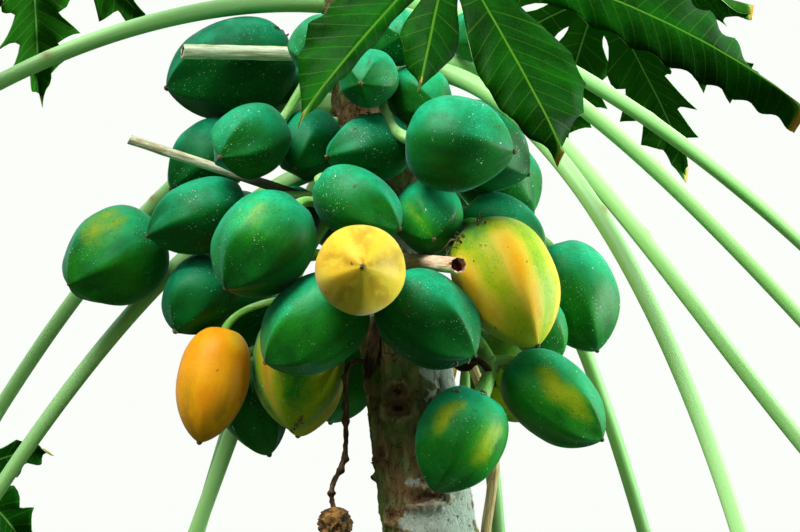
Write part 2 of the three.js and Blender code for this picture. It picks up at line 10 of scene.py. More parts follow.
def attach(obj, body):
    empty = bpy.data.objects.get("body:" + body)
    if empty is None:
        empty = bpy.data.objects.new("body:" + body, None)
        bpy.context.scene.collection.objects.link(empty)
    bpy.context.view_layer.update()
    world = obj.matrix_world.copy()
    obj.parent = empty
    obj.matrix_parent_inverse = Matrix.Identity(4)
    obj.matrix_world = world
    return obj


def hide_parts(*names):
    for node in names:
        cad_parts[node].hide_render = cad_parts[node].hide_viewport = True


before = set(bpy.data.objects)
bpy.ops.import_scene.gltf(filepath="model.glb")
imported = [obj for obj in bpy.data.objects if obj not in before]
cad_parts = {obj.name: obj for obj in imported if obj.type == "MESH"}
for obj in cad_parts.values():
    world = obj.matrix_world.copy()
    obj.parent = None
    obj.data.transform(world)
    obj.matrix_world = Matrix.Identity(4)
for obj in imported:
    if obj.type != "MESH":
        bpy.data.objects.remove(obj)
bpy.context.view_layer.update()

# Trunk
# One soft stem with no boughs, flared at the foot, under dark olive-brown bark with pale crusts. Each leaf
# that fell has left a rounded scar with a corky rim, and some left a ragged ledge, in one spiral up the stem.
TRUNK_HEIGHT = 2.82
TRUNK_LEAN = 0.287
TRUNK_BOW = 1.5
FOOT_RADIUS = 0.088
NECK_RADIUS = 0.054
NECK_HEIGHT = 2.3
CROWN_NARROWING = 0.03
CROWN_POWER = 4
FLARE = 0.038
FLARE_HEIGHT = 0.13
TRUNK_SIDES = 150
TRUNK_RINGS = 580
FINE_FROM = 1.75  # the height above which the rings lie twice as close
SCAR_TURN = math.radians(137.5)
SCAR_WANDER = 0.2
SCAR_RISE = 0.0215
LOWEST_SCAR = 2  # in rises above the ground
SCAR_REACH = 0.0175  # half of a scar's width
SCAR_SHAPE = 0.66  # its height for its width
SCAR_RAGGED = 0.25
SCAR_SPREAD = 0.22  # how much wider it is above its middle
SCAR_RIM = 0.0025
SCAR_DEPTH = 0.0034
SCAR_STAIN = 0.85
RIM_STAIN = 0.8
BUNDLES = 6  # the ends of the old stalk's veins, in a ring
BUNDLE_HEIGHT = 0.8  # for the height of the rim
BUNDLE_PALENESS = 0.6
SCAR_REACHES = (0.75, 1.15)
LEDGE = 0.0075
LEDGE_SHARE = 0.5
LEDGE_HEIGHTS = (0.4, 1.0)
# Where the parts of a scar lie and how wide they are, in its own half widths and half heights.
HOLLOW_REACH, HOLLOW_SLOPE = 1.02, 0.3
EYE_REACH, EYE_SLOPE, EYE_LEAST = 0.62, 0.3, 0.35
RIM_PLACE, RIM_WIDTH = 1.1, 0.2
BUNDLE_PLACE, BUNDLE_WIDTH = 0.55, 0.14
LEDGE_PLACE, LEDGE_WIDTH, LEDGE_LENGTH = -1.25, 0.42, 1.05
NOISE_FALL, NOISE_STEP, NOISE_LAYERS = 0.8, 2.1, 4
GRIT = 0.0010
GRIT_SCALE = 150
KNOBS = 0.0032
KNOB_SCALE = 42
KNOB_STRETCH = 0.7
FISSURE = 0.0013
FISSURE_SCALE = 24
FISSURE_STRETCH = 0.28
FISSURE_WIDTH = 0.07
FISSURE_STAIN = 0.25
FOOT_RELIEF = 0.35  # as a share of the relief at the neck
BUMPY = 0.0022
BUMPS_ROUND = 1.4
BUMPS_UP = 9
BUTTRESSES = 5
BUTTRESS_DEPTH = 0.006
BUTTRESS_TURN = 1.0
SAME_POINT = 1e-6
TURN = 2 * math.pi
# Scars and pale crusts that stand out, each with its height, its turn in degrees and its reach.
CLEAR_SCARS = [
    (2.128, -110, 0.017), (1.999, -97, 0.017), (1.980, -142, 0.014), (2.022, -70, 0.018),
    (2.055, -150, 0.014),
]
PALE_CRUSTS = [(2.142, -38, 0.034), (1.985, -42, 0.040), (1.930, -60, 0.050), (2.300, 30, 0.050)]
CRUSTS_ELSEWHERE = 34
CRUST_HEIGHTS = (0.1, 2.6)
CRUST_REACHES = (0.02, 0.05)
SEED = 11

random.seed(SEED)


def fed(tree, made, inputs):
    """A node with its inputs given. Each is a plain value or another node's output."""
    for name, value in inputs.items():
        if isinstance(value, bpy.types.NodeSocket):
            tree.links.new(value, made.inputs[name])
        else:
            made.inputs[name].default_value = value
    return made


def node(tree, kind, inputs=None, **settings):
    made = tree.nodes.new(kind)
    for name, value in settings.items():
        setattr(made, name, value)
    return fed(tree, made, inputs or {})


def noise_value(tree, place, scale, detail=4.0, roughness=0.55):
    inputs = {"Vector": place, "Scale": scale, "Detail": detail, "Roughness": roughness}
    return node(tree, "ShaderNodeTexNoise", inputs).outputs[0]


def stepped(tree, value, start, end, low=0.0, high=1.0):
    """A value eased from low to high while another goes from start to end."""
    inputs = {"Value": value, "From Min": start, "From Max": end, "To Min": low, "To Max": high}
    return node(tree, "ShaderNodeMapRange", inputs, interpolation_type="SMOOTHSTEP").outputs[0]


def sums(tree, kind, first, second=0.0):
    return node(tree, "ShaderNodeMath", {0: first, 1: second}, operation=kind).outputs[0]


def times(tree, first, second):
    return sums(tree, "MULTIPLY", first, second)


def plus(tree, first, second):
    return sums(tree, "ADD", first, second)


def layered(tree, mask, under, over):
    """One colour laid over another where the mask says."""
    return node(tree, "ShaderNodeMix", {0: mask, 6: under, 7: over}, data_type="RGBA").outputs[2]


def stretched(tree, place, by):
    return node(tree, "ShaderNodeMapping", {"Vector": place, "Scale": by}).outputs[0]


def warped(tree, place, scale, by):
    """A place moved a little by noise, so that what is drawn there is less regular."""
    waves = node(tree, "ShaderNodeTexNoise", {"Vector": place, "Scale": scale, "Detail": 3.0})
    centred = node(tree, "ShaderNodeVectorMath", {0: waves.outputs["Color"], 1: (0.5, 0.5, 0.5)},
                   operation="SUBTRACT")
    moved = node(tree, "ShaderNodeVectorMath", {0: centred.outputs[0], 1: (by, by, by), 2: place},
                 operation="MULTIPLY_ADD")
    return moved.outputs[0]


def masks_group(name, numbers):
    """A node group that turns a place and some numbers into one mask."""
    tree = bpy.data.node_groups.new(name, "ShaderNodeTree")
    tree.interface.new_socket("Place", in_out="INPUT", socket_type="NodeSocketVector")
    for number in numbers:
        tree.interface.new_socket(number, in_out="INPUT", socket_type="NodeSocketFloat")
    tree.interface.new_socket("Mask", in_out="OUTPUT", socket_type="NodeSocketFloat")
    return tree, tree.nodes.new("NodeGroupInput").outputs, tree.nodes.new("NodeGroupOutput").inputs["Mask"]


# Soft-edged patches, such as moss, lichen and flushes of colour.
patches, given, result = masks_group("patches", ["Scale", "Edge", "Softness"])
waves = noise_value(patches, given["Place"], given["Scale"], detail=6.0, roughness=0.6)
lower = sums(patches, "SUBTRACT", given["Edge"], given["Softness"])
upper = plus(patches, given["Edge"], given["Softness"])
patches.links.new(stepped(patches, waves, lower, upper), result)

# Uneven dots in some of the cells, such as drops of dried latex and corky pores.
specks, given, result = masks_group("specks", ["Scale", "Size", "Share"])
inputs = {"Vector": warped(specks, given["Place"], 420.0, 0.0026), "Scale": given["Scale"], "Randomness": 1.0}
cells = node(specks, "ShaderNodeTexVoronoi", inputs)
luck = node(specks, "ShaderNodeSeparateColor", {0: cells.outputs["Color"]})
size = times(specks, given["Size"], stepped(specks, luck.outputs[1], 0.1, 1.0, 0.3, 1.5))
dot = stepped(specks, cells.outputs["Distance"], size, times(specks, size, 0.6))
chosen = sums(specks, "LESS_THAN", luck.outputs[0], given["Share"])
specks.links.new(times(specks, dot, chosen), result)

# Thin cracks between cells.
cracks, given, result = masks_group("cracks", ["Scale", "Width"])
inputs = {"Vector": warped(cracks, given["Place"], 38.0, 0.012), "Scale": given["Scale"]}
cells = node(cracks, "ShaderNodeTexVoronoi", inputs, feature="DISTANCE_TO_EDGE")
cracks.links.new(stepped(cracks, cells.outputs["Distance"], given["Width"], 0.0), result)


def masked(tree, group, place, **numbers):
    made = tree.nodes.new("ShaderNodeGroup")
    made.node_tree = group
    return fed(tree, made, {"Place": place, **numbers}).outputs["Mask"]


def finish(name, roughness=0.5, shine=0.3):
    """A new material, with its tree, its shader and the piece's own coordinates."""
    material = bpy.data.materials.new(name)
    material.use_nodes = True
    tree = material.node_tree
    shader = tree.nodes["Principled BSDF"]
    shader.inputs["Roughness"].default_value = roughness
    shader.inputs["Specular IOR Level"].default_value = shine
    place = tree.nodes.new("ShaderNodeTexCoord").outputs["Object"]
    return material, tree, shader, place


def surface(tree, name):
    return node(tree, "ShaderNodeAttribute", attribute_name=name).outputs["Fac"]


def lying(tree):
    """Where a point lies on its own limb or fruit, whichever way that turns."""
    return node(tree, "ShaderNodeAttribute", attribute_name="lie").outputs["Vector"]


def facing_up(tree):
    """How far a surface faces up, from -1 to 1."""
    normal = tree.nodes.new("ShaderNodeNewGeometry").outputs["Normal"]
    return node(tree, "ShaderNodeSeparateXYZ", {0: normal}).outputs[2]


def coloured(tree, shader, colour, height=None, depth=0.001, strength=1.0):
    """Gives a shader its colour, and the fine relief of its skin."""
    tree.links.new(colour, shader.inputs["Base Color"])
    if height:
        inputs = {"Height": height, "Distance": depth, "Strength": strength}
        relief = node(tree, "ShaderNodeBump", inputs)
        tree.links.new(relief.outputs[0], shader.inputs["Normal"])


BARK_OLIVE = (0.34, 0.32, 0.12, 1)
BARK_DARK = (0.085, 0.080, 0.030, 1)
MOSS = (0.10, 0.20, 0.024, 1)
RUST = (0.29, 0.130, 0.060, 1)
LICHEN = (0.60, 0.66, 0.58, 1)
CORK = (0.56, 0.38, 0.21, 1)
SCAR_RED = (0.19, 0.095, 0.045, 1)
SCAR_BROWN = (0.028, 0.014, 0.008, 1)

bark, tree, shader, place = finish("bark", roughness=0.9, shine=0.2)
along_bark = stretched(tree, place, (1.0, 1.0, 0.3))
streaks = noise_value(tree, along_bark, 60.0, detail=7.0, roughness=0.7)
grain = noise_value(tree, place, 320.0, detail=6.0, roughness=0.75)
colour = layered(tree, stepped(tree, streaks, 0.40, 0.64), BARK_DARK, BARK_OLIVE)
colour = layered(tree, stepped(tree, grain, 0.52, 0.75, 0.0, 0.35), colour, CORK)
rusty = masked(tree, patches, place, Scale=15.0, Edge=0.50, Softness=0.06)
colour = layered(tree, times(tree, rusty, 0.6), colour, RUST)
mossy = masked(tree, patches, place, Scale=11.0, Edge=0.5, Softness=0.07)
mossy = times(tree, mossy, masked(tree, patches, place, Scale=70.0, Edge=0.46, Softness=0.12))
colour = layered(tree, times(tree, mossy, 0.8), colour, MOSS)
crust_edge = sums(tree, "SUBTRACT", 0.68, times(tree, surface(tree, "pale"), 0.40))
crust = masked(tree, patches, place, Scale=42.0, Edge=crust_edge, Softness=0.04)
crust = times(tree, crust, masked(tree, patches, place, Scale=160.0, Edge=0.34, Softness=0.08))
colour = layered(tree, times(tree, crust, 0.92), colour, LICHEN)
corky_rim = times(tree, surface(tree, "rim"), stepped(tree, grain, 0.25, 0.55, 0.35, 1.0))
colour = layered(tree, corky_rim, colour, layered(tree, rusty, CORK, RUST))
in_scar = surface(tree, "scar")
colour = layered(tree, stepped(tree, in_scar, 0.08, 0.26), colour, SCAR_RED)
colour = layered(tree, stepped(tree, in_scar, 0.40, 0.80), colour, SCAR_BROWN)
crack = masked(tree, cracks, stretched(tree, place, (1.0, 1.0, 0.6)), Scale=80.0, Width=0.05)
crack = times(tree, crack, stepped(tree, streaks, 0.6, 0.42))
crack = times(tree, crack, stepped(tree, crust, 0.0, 1.0, 1.0, 0.3))
colour = layered(tree, times(tree, crack, 0.6), colour, SCAR_BROWN)
pores = masked(tree, specks, place, Scale=150.0, Size=0.16, Share=0.3)
colour = layered(tree, times(tree, pores, 0.8), colour, SCAR_BROWN)
height = plus(tree, streaks, times(tree, grain, 0.8))
height = sums(tree, "SUBTRACT", height, times(tree, pores, 0.4))
height = sums(tree, "SUBTRACT", height, times(tree, crack, 0.7))
coloured(tree, shader, colour, height, depth=0.005, strength=1.0)


def trunk_middle(height):
    return Vector((-TRUNK_LEAN * (max(height, 0) / TRUNK_HEIGHT) ** TRUNK_BOW, 0, height))


def trunk_radius(height):
    taper = FOOT_RADIUS + (NECK_RADIUS - FOOT_RADIUS) * height / NECK_HEIGHT
    crown = max(0, (height - NECK_HEIGHT) / (TRUNK_HEIGHT - NECK_HEIGHT))
    return taper - CROWN_NARROWING * crown ** CROWN_POWER + FLARE * math.exp(-height / FLARE_HEIGHT)


def faces_at(verts):
    """The faces that meet at some points, each once. Their order is the same in each run, unlike a set's."""
    return list(dict.fromkeys(face for vertex in verts for face in vertex.link_faces))


def verts_of(faces):
    return list(dict.fromkeys(vertex for face in faces for vertex in face.verts))


def roll(shape, sides, steps, place_at, material=0, girth=0.0, length=0.0):
    """Adds a sheet rolled into a tube with closed ends. place_at(around, along) gives each point of it."""
    lie = shape.verts.layers.float_vector["lie"]
    grid = bmesh.ops.create_grid(shape, x_segments=sides, y_segments=steps, size=0.5, calc_uvs=True)
    for vertex in grid["verts"]:
        around, along = vertex.co.x + 0.5, vertex.co.y + 0.5
        turn = around * TURN
        vertex[lie] = Vector((math.cos(turn) * girth, math.sin(turn) * girth, along * length))
        vertex.co = place_at(around, along)
    faces = faces_at(grid["verts"])
    bmesh.ops.remove_doubles(shape, verts=grid["verts"], dist=SAME_POINT)
    faces = [face for face in faces if face.is_valid]
    rims = dict.fromkeys(edge for face in faces for edge in face.edges if edge.is_boundary)
    faces += bmesh.ops.holes_fill(shape, edges=list(rims))["faces"]
    for face in faces:
        face.material_index = material
    bmesh.ops.recalc_face_normals(shape, faces=faces)
    return faces


def keep(name, shape, finishes, slot, *nodes):
    """Makes a finished shape a piece of the tree, in place of its CAD nodes."""
    mesh = bpy.data.meshes.new(name)
    shape.to_mesh(mesh)
    shape.free()
    for material in finishes:
        mesh.materials.append(material)
    mesh.shade_smooth()
    piece = bpy.data.objects.new(name, mesh)
    bpy.context.scene.collection.objects.link(piece)
    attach(piece, "root")
    if nodes:
        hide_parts(*nodes)
    return piece


def new_shape(*layers):
    """An empty shape that can hold UVs, where each point lies and other named values."""
    shape = bmesh.new()
    shape.loops.layers.uv.new("UVMap")
    shape.verts.layers.float_vector.new("lie")
    for layer in layers:
        shape.verts.layers.float.new(layer)
    return shape


coarse_rings = round(TRUNK_RINGS * FINE_FROM / (2 * TRUNK_HEIGHT - FINE_FROM))
ring_heights = np.concatenate([
    np.linspace(0, FINE_FROM, coarse_rings, endpoint=False),
    np.linspace(FINE_FROM, TRUNK_HEIGHT, TRUNK_RINGS - coarse_rings + 1),
])


def trunk_point(around, along):
    height = ring_heights[round(along * TRUNK_RINGS)]
    turn = around * TURN
    out = Vector((math.cos(turn), math.sin(turn), 0))
    radius = trunk_radius(height)
    near_foot = math.exp(-height / FLARE_HEIGHT)
    radius += BUTTRESS_DEPTH * near_foot * math.cos(BUTTRESSES * turn + BUTTRESS_TURN)
    radius += BUMPY * noise.noise(Vector((out.x * BUMPS_ROUND, out.y * BUMPS_ROUND, height * BUMPS_UP)))
    return trunk_middle(height) + out * radius


trunk_shape = new_shape("scar", "rim", "pale")
roll(trunk_shape, TRUNK_SIDES, TRUNK_RINGS, trunk_point)
trunk = keep("tree_trunk", trunk_shape, [bark], "bark", "trunk")

points = np.empty(len(trunk.data.vertices) * 3, np.float32)
trunk.data.vertices.foreach_get("co", points)
points = points.reshape(-1, 3)
middles = np.array([trunk_middle(height)[:] for height in points[:, 2]])
outward = points - middles
outward[:, 2] = 0
radii = np.linalg.norm(outward, axis=1)
outward /= np.maximum(radii, SAME_POINT)[:, None]
turns = np.arctan2(outward[:, 1], outward[:, 0])


def rough(scale, lengthwise):
    """Noise at each point of the trunk."""
    spots = (Vector((x * scale, y * scale, z * scale * lengthwise)) for x, y, z in points)
    return np.array([noise.fractal(spot, NOISE_FALL, NOISE_STEP, NOISE_LAYERS) for spot in spots])


def from_spot(height, turn):
    """How far each point of the trunk is round to the left of a spot and above it."""
    return np.angle(np.exp(1j * (turns - turn))) * radii, points[:, 2] - height


def hump(values, middle, width):
    """1 at the middle, falling away smoothly over the width on both sides."""
    return np.exp(-((values - middle) / width) ** 2)


grit = rough(GRIT_SCALE, 1.0)
knobs = rough(KNOB_SCALE, KNOB_STRETCH)
fissures = hump(rough(FISSURE_SCALE, FISSURE_STRETCH), 0, FISSURE_WIDTH)
age = FOOT_RELIEF + (1 - FOOT_RELIEF) * np.minimum(1, points[:, 2] / NECK_HEIGHT) ** 2
relief = GRIT * grit + age * (KNOBS * knobs - FISSURE * fissures)
scar = FISSURE_STAIN * fissures * age
rim = np.zeros(len(points))
pale = np.zeros(len(points))
scars = [(math.radians(turn), height, reach, 1.0) for height, turn, reach in CLEAR_SCARS]
for count in range(int(TRUNK_HEIGHT / SCAR_RISE) - LOWEST_SCAR - 1):
    turn = SCAR_TURN * count + random.uniform(-SCAR_WANDER, SCAR_WANDER)
    ledge = random.uniform(*LEDGE_HEIGHTS) if random.random() < LEDGE_SHARE else 0.0
    reach = SCAR_REACH * random.uniform(*SCAR_REACHES)
    scars.append((turn, SCAR_RISE * (count + LOWEST_SCAR), reach, ledge))
for turn, height, reach, ledge in scars:
    across, up = from_spot(height, turn)
    up = up / (reach * SCAR_SHAPE) + SCAR_RAGGED * grit
    across = across / reach * (1 + SCAR_SPREAD * up)
    reached = np.hypot(across, up)
    hollow = np.clip((HOLLOW_REACH - reached) / HOLLOW_SLOPE, 0, 1)
    edge = hump(reached, RIM_PLACE, RIM_WIDTH)
    bundles = hump(reached, BUNDLE_PLACE, BUNDLE_WIDTH)
    bundles *= 0.5 + 0.5 * np.cos(BUNDLES * np.arctan2(up, across))
    shelf = ledge * hump(up, LEDGE_PLACE, LEDGE_WIDTH) * np.exp(-(across / LEDGE_LENGTH) ** 4)
    # Low spots of the bark break a ledge, and high ones make it stand out more.
    shelf *= np.clip(0.75 + 1.1 * grit + 0.5 * knobs, 0, 1.5)
    raised = SCAR_RIM * edge + BUNDLE_HEIGHT * SCAR_RIM * bundles + LEDGE * shelf
    relief += age * (raised - SCAR_DEPTH * hollow)
    eye = np.clip((EYE_REACH - reached) / EYE_SLOPE, EYE_LEAST, 1)
    scar = np.maximum(scar, age * hollow * eye * (1 - BUNDLE_PALENESS * bundles))
    rim = np.maximum(rim, age * np.maximum(edge, shelf))
crusts = [(height, math.radians(turn), reach) for height, turn, reach in PALE_CRUSTS]
for _ in range(CRUSTS_ELSEWHERE):
    crusts.append((random.uniform(*CRUST_HEIGHTS), random.uniform(0, TURN), random.uniform(*CRUST_REACHES)))
for height, turn, reach in crusts:
    across, up = from_spot(height, turn)
    pale = np.maximum(pale, hump(np.hypot(across, up), 0, reach))
points += outward * relief[:, None]
points[:, 2] = np.clip(points[:, 2], 0, None)
trunk.data.vertices.foreach_set("co", points.astype(np.float32).ravel())
for name, values in (("scar", SCAR_STAIN * scar), ("rim", RIM_STAIN * rim), ("pale", pale)):
    trunk.data.attributes[name].data.foreach_set("value", np.clip(values, 0, 1).astype(np.float32))
trunk.data.update()

# Leaf stalks
# Long smooth hollow stalks, pale green and waxy, swollen where they clasp the trunk. Each rises from the
# trunk, arches over and hangs to the blade at its end.
LEAF_STALK_FOOT_RADIUS = 0.016
LEAF_STALK_RADIUS = 0.012
LEAF_STALK_TIP_RADIUS = 0.009
LEAF_STALK_SWELL_FADE = 12
LEAF_STALK_SIDES = 24
LEAF_STALK_STEPS = 90
ROOT_DEPTH = 0.014
UP = Vector((0, 0, 1))
# A row has a stalk's turn about the trunk in degrees (0 to the right, 90 away from the viewer), the height
# of its foot, its shoulder, elbow and hub, each as reach and height, and the blade's longest lobe, its
# pitch below level and its sag.
LEAVES = [
    ("leaf_01", -35, 2.55, (0.23, 2.56), (0.45, 2.215), (0.545, 1.76), 0.29, 62, 0.3),
    ("leaf_02", -12, 2.59, (0.26, 2.57), (0.42, 2.16), (0.66, 1.9), 0.28, 60, 0.3),
    ("leaf_03", 12, 2.64, (0.26, 2.64), (0.48, 2.39), (0.81, 2.03), 0.3, 55, 0.3),
    ("leaf_04", 28, 2.68, (0.3, 2.66), (0.56, 2.56), (0.93, 2.27), 0.3, 50, 0.3),
    ("leaf_05", 42, 2.49, (0.26, 2.5), (0.39, 2.33), (0.56, 1.84), 0.27, 62, 0.3),
    ("leaf_06", 183, 2.655, (0.25, 2.66), (0.5, 2.56), (0.74, 2.3), 0.3, 50, 0.3),
    ("leaf_07", 160, 2.52, (0.19, 2.54), (0.37, 2.4), (0.58, 2.06), 0.27, 58, 0.3),
    ("leaf_08", 170, 2.44, (0.16, 2.43), (0.34, 2.29), (0.58, 1.88), 0.25, 65, 0.3),
    ("leaf_09", 150, 2.4, (0.13, 2.4), (0.2, 2.13), (0.43, 1.64), 0.25, 68, 0.3),
    ("leaf_10", 130, 2.47, (0.16, 2.48), (0.27, 2.2), (0.52, 1.72), 0.26, 66, 0.3),
    ("leaf_11", 52, 2.43, (0.15, 2.44), (0.25, 2.3), (0.272, 1.7), 0.27, 66, 0.3),
    ("leaf_12", 205, 2.7, (0.2, 2.8), (0.4, 2.83), (0.62, 2.76), 0.33, 25, 0.3),
    ("leaf_13", -76, 2.71, (0.18, 2.79), (0.37, 2.75), (0.5, 2.525), 0.26, 72, 0.12),
    ("leaf_14", 55, 2.72, (0.2, 2.85), (0.42, 2.92), (0.66, 2.88), 0.33, 20, 0.25),
    ("leaf_15", 140, 2.735, (0.19, 2.87), (0.4, 2.96), (0.64, 2.94), 0.33, 20, 0.25),
    ("leaf_16", -30, 2.75, (0.16, 2.9), (0.34, 2.98), (0.56, 2.96), 0.32, 18, 0.25),
    ("leaf_17", 230, 2.76, (0.14, 2.92), (0.3, 3.04), (0.48, 3.06), 0.3, 14, 0.25),
    ("leaf_18", 92, 2.77, (0.12, 2.94), (0.26, 3.1), (0.44, 3.15), 0.28, 12, 0.25),
    ("leaf_19", 330, 2.79, (0.07, 2.96), (0.13, 3.12), (0.21, 3.25), 0.2, -10, 0.2),
    ("leaf_20", 185, 2.8, (0.06, 2.96), (0.11, 3.15), (0.17, 3.33), 0.17, -25, 0.15),
]

PALE_GREEN = (0.35, 0.65, 0.24, 1)
MID_GREEN = (0.24, 0.54, 0.14, 1)
WAX_AND_PAINTED_TOP_LIGHT = (0.37, 0.64, 0.28, 1)
STALK_SCAR = (0.30, 0.18, 0.07, 1)

stalk_skin, tree, shader, _ = finish("leaf_stalk", roughness=0.45, shine=0.3)
own = lying(tree)
lengthwise = stretched(tree, own, (1.0, 1.0, 0.05))
colour = layered(tree, masked(tree, patches, lengthwise, Scale=60.0, Edge=0.5, Softness=0.2),
                 PALE_GREEN, MID_GREEN)
# Wax bloom and painted light from above: the stalk turns paler and waxier the more its surface faces up.
bloom_and_top_light = stepped(tree, facing_up(tree), -0.3, 0.9, 0.1, 0.75)
rubbed = masked(tree, patches, stretched(tree, own, (1.0, 1.0, 0.2)), Scale=30.0, Edge=0.48, Softness=0.14)
colour = layered(tree, times(tree, bloom_and_top_light, plus(tree, times(tree, rubbed, 0.4), 0.6)), colour, WAX_AND_PAINTED_TOP_LIGHT)
nicks = masked(tree, specks, stretched(tree, own, (1.0, 1.0, 0.4)), Scale=58.0, Size=0.09, Share=0.07)
colour = layered(tree, times(tree, nicks, 0.85), colour, STALK_SCAR)
colour = layered(tree, surface(tree, "knot"), colour, STALK_SCAR)
fine_lines = noise_value(tree, stretched(tree, own, (1.0, 1.0, 0.02)), 420.0, detail=3.0)
coloured(tree, shader, colour, fine_lines, depth=0.0006, strength=0.35)


def heading(turn):
    return Vector((math.cos(math.radians(turn)), math.sin(math.radians(turn)), 0))


def bezier(corners, share):
    first, second, third, last = corners
    rest = 1 - share
    return (first * rest ** 3 + second * 3 * share * rest ** 2
            + third * 3 * share ** 2 * rest + last * share ** 3)


def limb(shape, path, radius_at, sides, steps, material=0):
    """Adds a round limb with closed ends. path(share) gives its middle, radius_at(share, turn) its skin."""
    middles = [path(step / steps) for step in range(steps + 1)]
    length = sum((after - before).length for before, after in zip(middles, middles[1:]))
    frames = []
    side = None
    for step in range(steps + 1):
        ahead = (middles[min(step + 1, steps)] - middles[max(step - 1, 0)]).normalized()
        side = ahead.orthogonal() if side is None else side - ahead * side.dot(ahead)
        side.normalize()
        frames.append((side.copy(), ahead.cross(side)))

    def place_at(around, along):
        step = round(along * steps)
        turn = around * TURN
        out = frames[step][0] * math.cos(turn) + frames[step][1] * math.sin(turn)
        return middles[step] + out * radius_at(along, turn)

    return roll(shape, sides, steps, place_at, material, radius_at(0.5, 0), length)


def angle_between(first, second):
    return (first - second + math.pi) % TURN - math.pi


def leaf_stalk_corners(turn, foot, shoulder, elbow, hub):
    out = heading(turn)
    middle = trunk_middle(foot)

    def at(reach, height):
        return Vector((middle.x, middle.y, height)) + out * reach

    return [at(trunk_radius(foot) - ROOT_DEPTH, foot), at(*shoulder), at(*elbow), at(*hub)]


# Blades
# Thin lobed blades, dark green and satin above and paler below, with yellow-green ribs that all meet over
# the stalk's end. A lobe has forward-pointing side lobes, and its edges hang a little below its rib.

# A lobe's direction in degrees, its length and its half width as shares of the longest one, and how much
# wider it is on the side of the next lobe.
LOBES = [
    (-132, 0.62, 0.12, 0), (-86, 0.82, 0.16, 0), (-43, 0.95, 0.19, 0),
    (0, 1, 0.2, 0),
    (43, 0.95, 0.19, 0), (86, 0.82, 0.16, 0), (132, 0.62, 0.12, 0),
]
UNEVEN_LOBES = {
    "leaf_13": [
        (-128, 0.7, 0.13, 0), (-86, 0.9, 0.15, 0), (-41, 1.03, 0.12, -0.7),
        (-15, 0.68, 0.12, 0),
        (24.5, 0.98, 0.21, 0.3), (83, 1.75, 0.24, 0.45), (128, 0.9, 0.2, 0),
    ],
}
SINUS_REACH = 0.24
REAR_SINUS_REACH = 0.1
LOBE_FOLD = 0.09
LOBE_FOLD_CURVE = 1.2
SAG_PULL = 0.25
TOOTH_DEPTH = 0.52  # of a lobe's half width
WORN_TOOTH_DEPTH = 0.1  # on the torn leaf
TOOTH_LENGTH = 0.2  # of the longest lobe, along the rib
TOOTH_ROWS = 8
TOOTH_CURVE = 1.3
INNER_ROWS = 6
INNER_TEETH = 0.4  # how far the side veins' count goes on between the notch and the hub
HALF_COLUMNS = 7
COLUMNS_GATHER = 1.45  # at the rib
WIDENING = 1.14
LOBE_BELLY = 0.9
LOBE_FULLNESS = 0.8
LOBE_DROOP = 0.06
TIP_POINT = 9
TIP_FROM = 0.972  # how far along a lobe its dry tip begins
TIP_FADE = 0.02
FREE_AFTER = 0.8  # of a tooth's length past the notch, where a lobe stands free of the next one
FORWARD = 0.75  # how far a side lobe points ahead for its width
BLADE_THICKNESS = 0.0009
SEAM_REACH = 50 * SAME_POINT  # how near the edges of two lobes are sewn together
RIB_HEIGHT = 0.0022
RIB_THINNING = 0.7  # towards a lobe's tip
RIB_START = 8  # how fast a rib rises with its distance from the hub
RIB_BREADTH = 0.02  # of a lobe's half width
QUILTING = 0.0012
QUILTING_START = 6
RUFFLE = 0.018
RUFFLE_LAG = 2

LEAF_GREEN = (0.001, 0.019, 0.0005, 1)
LEAF_MOTTLE = (0.002, 0.072, 0.0008, 1)
LEAF_YOUNG = (0.035, 0.19, 0.008, 1)
UNDER_GREEN = (0.002, 0.056, 0.001, 1)
UNDER_MOTTLE = (0.005, 0.098, 0.002, 1)
RIB_GREEN = (0.060, 0.17, 0.012, 1)
UNDER_RIB = (0.20, 0.42, 0.10, 1)
LEAF_BROWN = (0.30, 0.17, 0.05, 1)
TIP_ORANGE = (0.62, 0.20, 0.04, 1)
VEINS_A_TOOTH = 3


def blade_finish(name, ground, mottle, ribs, vein_share, roughness, depth):
    """Leaf skin with its net of veins: the piece's UVs run across each lobe's rib and along it by teeth."""
    material, tree, shader, place = finish(name, roughness=roughness, shine=0.10)
    shader.inputs["IOR"].default_value = 1.2
    where = node(tree, "ShaderNodeSeparateXYZ", {0: tree.nodes.new("ShaderNodeUVMap").outputs[0]})
    across = sums(tree, "ABSOLUTE", where.outputs[0])
    tooth = sums(tree, "FRACT", times(tree, where.outputs[1], VEINS_A_TOOTH))
    from_side_vein = sums(tree, "ABSOLUTE", sums(tree, "SUBTRACT", tooth, 0.5))
    rib = stepped(tree, across, 0.0018, 0.0006)
    side_vein = stepped(tree, from_side_vein, 0.055, 0.015)
    warm = warped(tree, place, 60.0, 0.004)
    net = node(tree, "ShaderNodeTexVoronoi", {"Vector": warm, "Scale": 230.0}, feature="DISTANCE_TO_EDGE")
    small_vein = stepped(tree, net.outputs["Distance"], 0.12, 0.02)
    vein = sums(tree, "MAXIMUM", rib, times(tree, side_vein, 0.30))
    vein = sums(tree, "MAXIMUM", vein, times(tree, small_vein, 0.06))
    colour = layered(tree, masked(tree, patches, place, Scale=9.0, Edge=0.52, Softness=0.18), ground, mottle)
    colour = layered(tree, surface(tree, "young"), colour, LEAF_YOUNG)
    colour = layered(tree, times(tree, vein, vein_share), colour, ribs)
    dead = masked(tree, specks, place, Scale=40.0, Size=0.07, Share=0.07)
    colour = layered(tree, dead, colour, LEAF_BROWN)
    colour = layered(tree, surface(tree, "tip"), colour, TIP_ORANGE)
    swell = stepped(tree, from_side_vein, 0.0, 0.5, 0.0, 0.5)
    height = plus(tree, times(tree, net.outputs["Distance"], 0.5), swell)
    coloured(tree, shader, colour, height, depth=depth, strength=0.35)
    return material


blade_top = blade_finish("blade_top", LEAF_GREEN, LEAF_MOTTLE, RIB_GREEN, 0.9, 0.5, 0.0012)
blade_under = blade_finish("blade_under", UNDER_GREEN, UNDER_MOTTLE, UNDER_RIB, 1.0, 0.65, 0.0016)


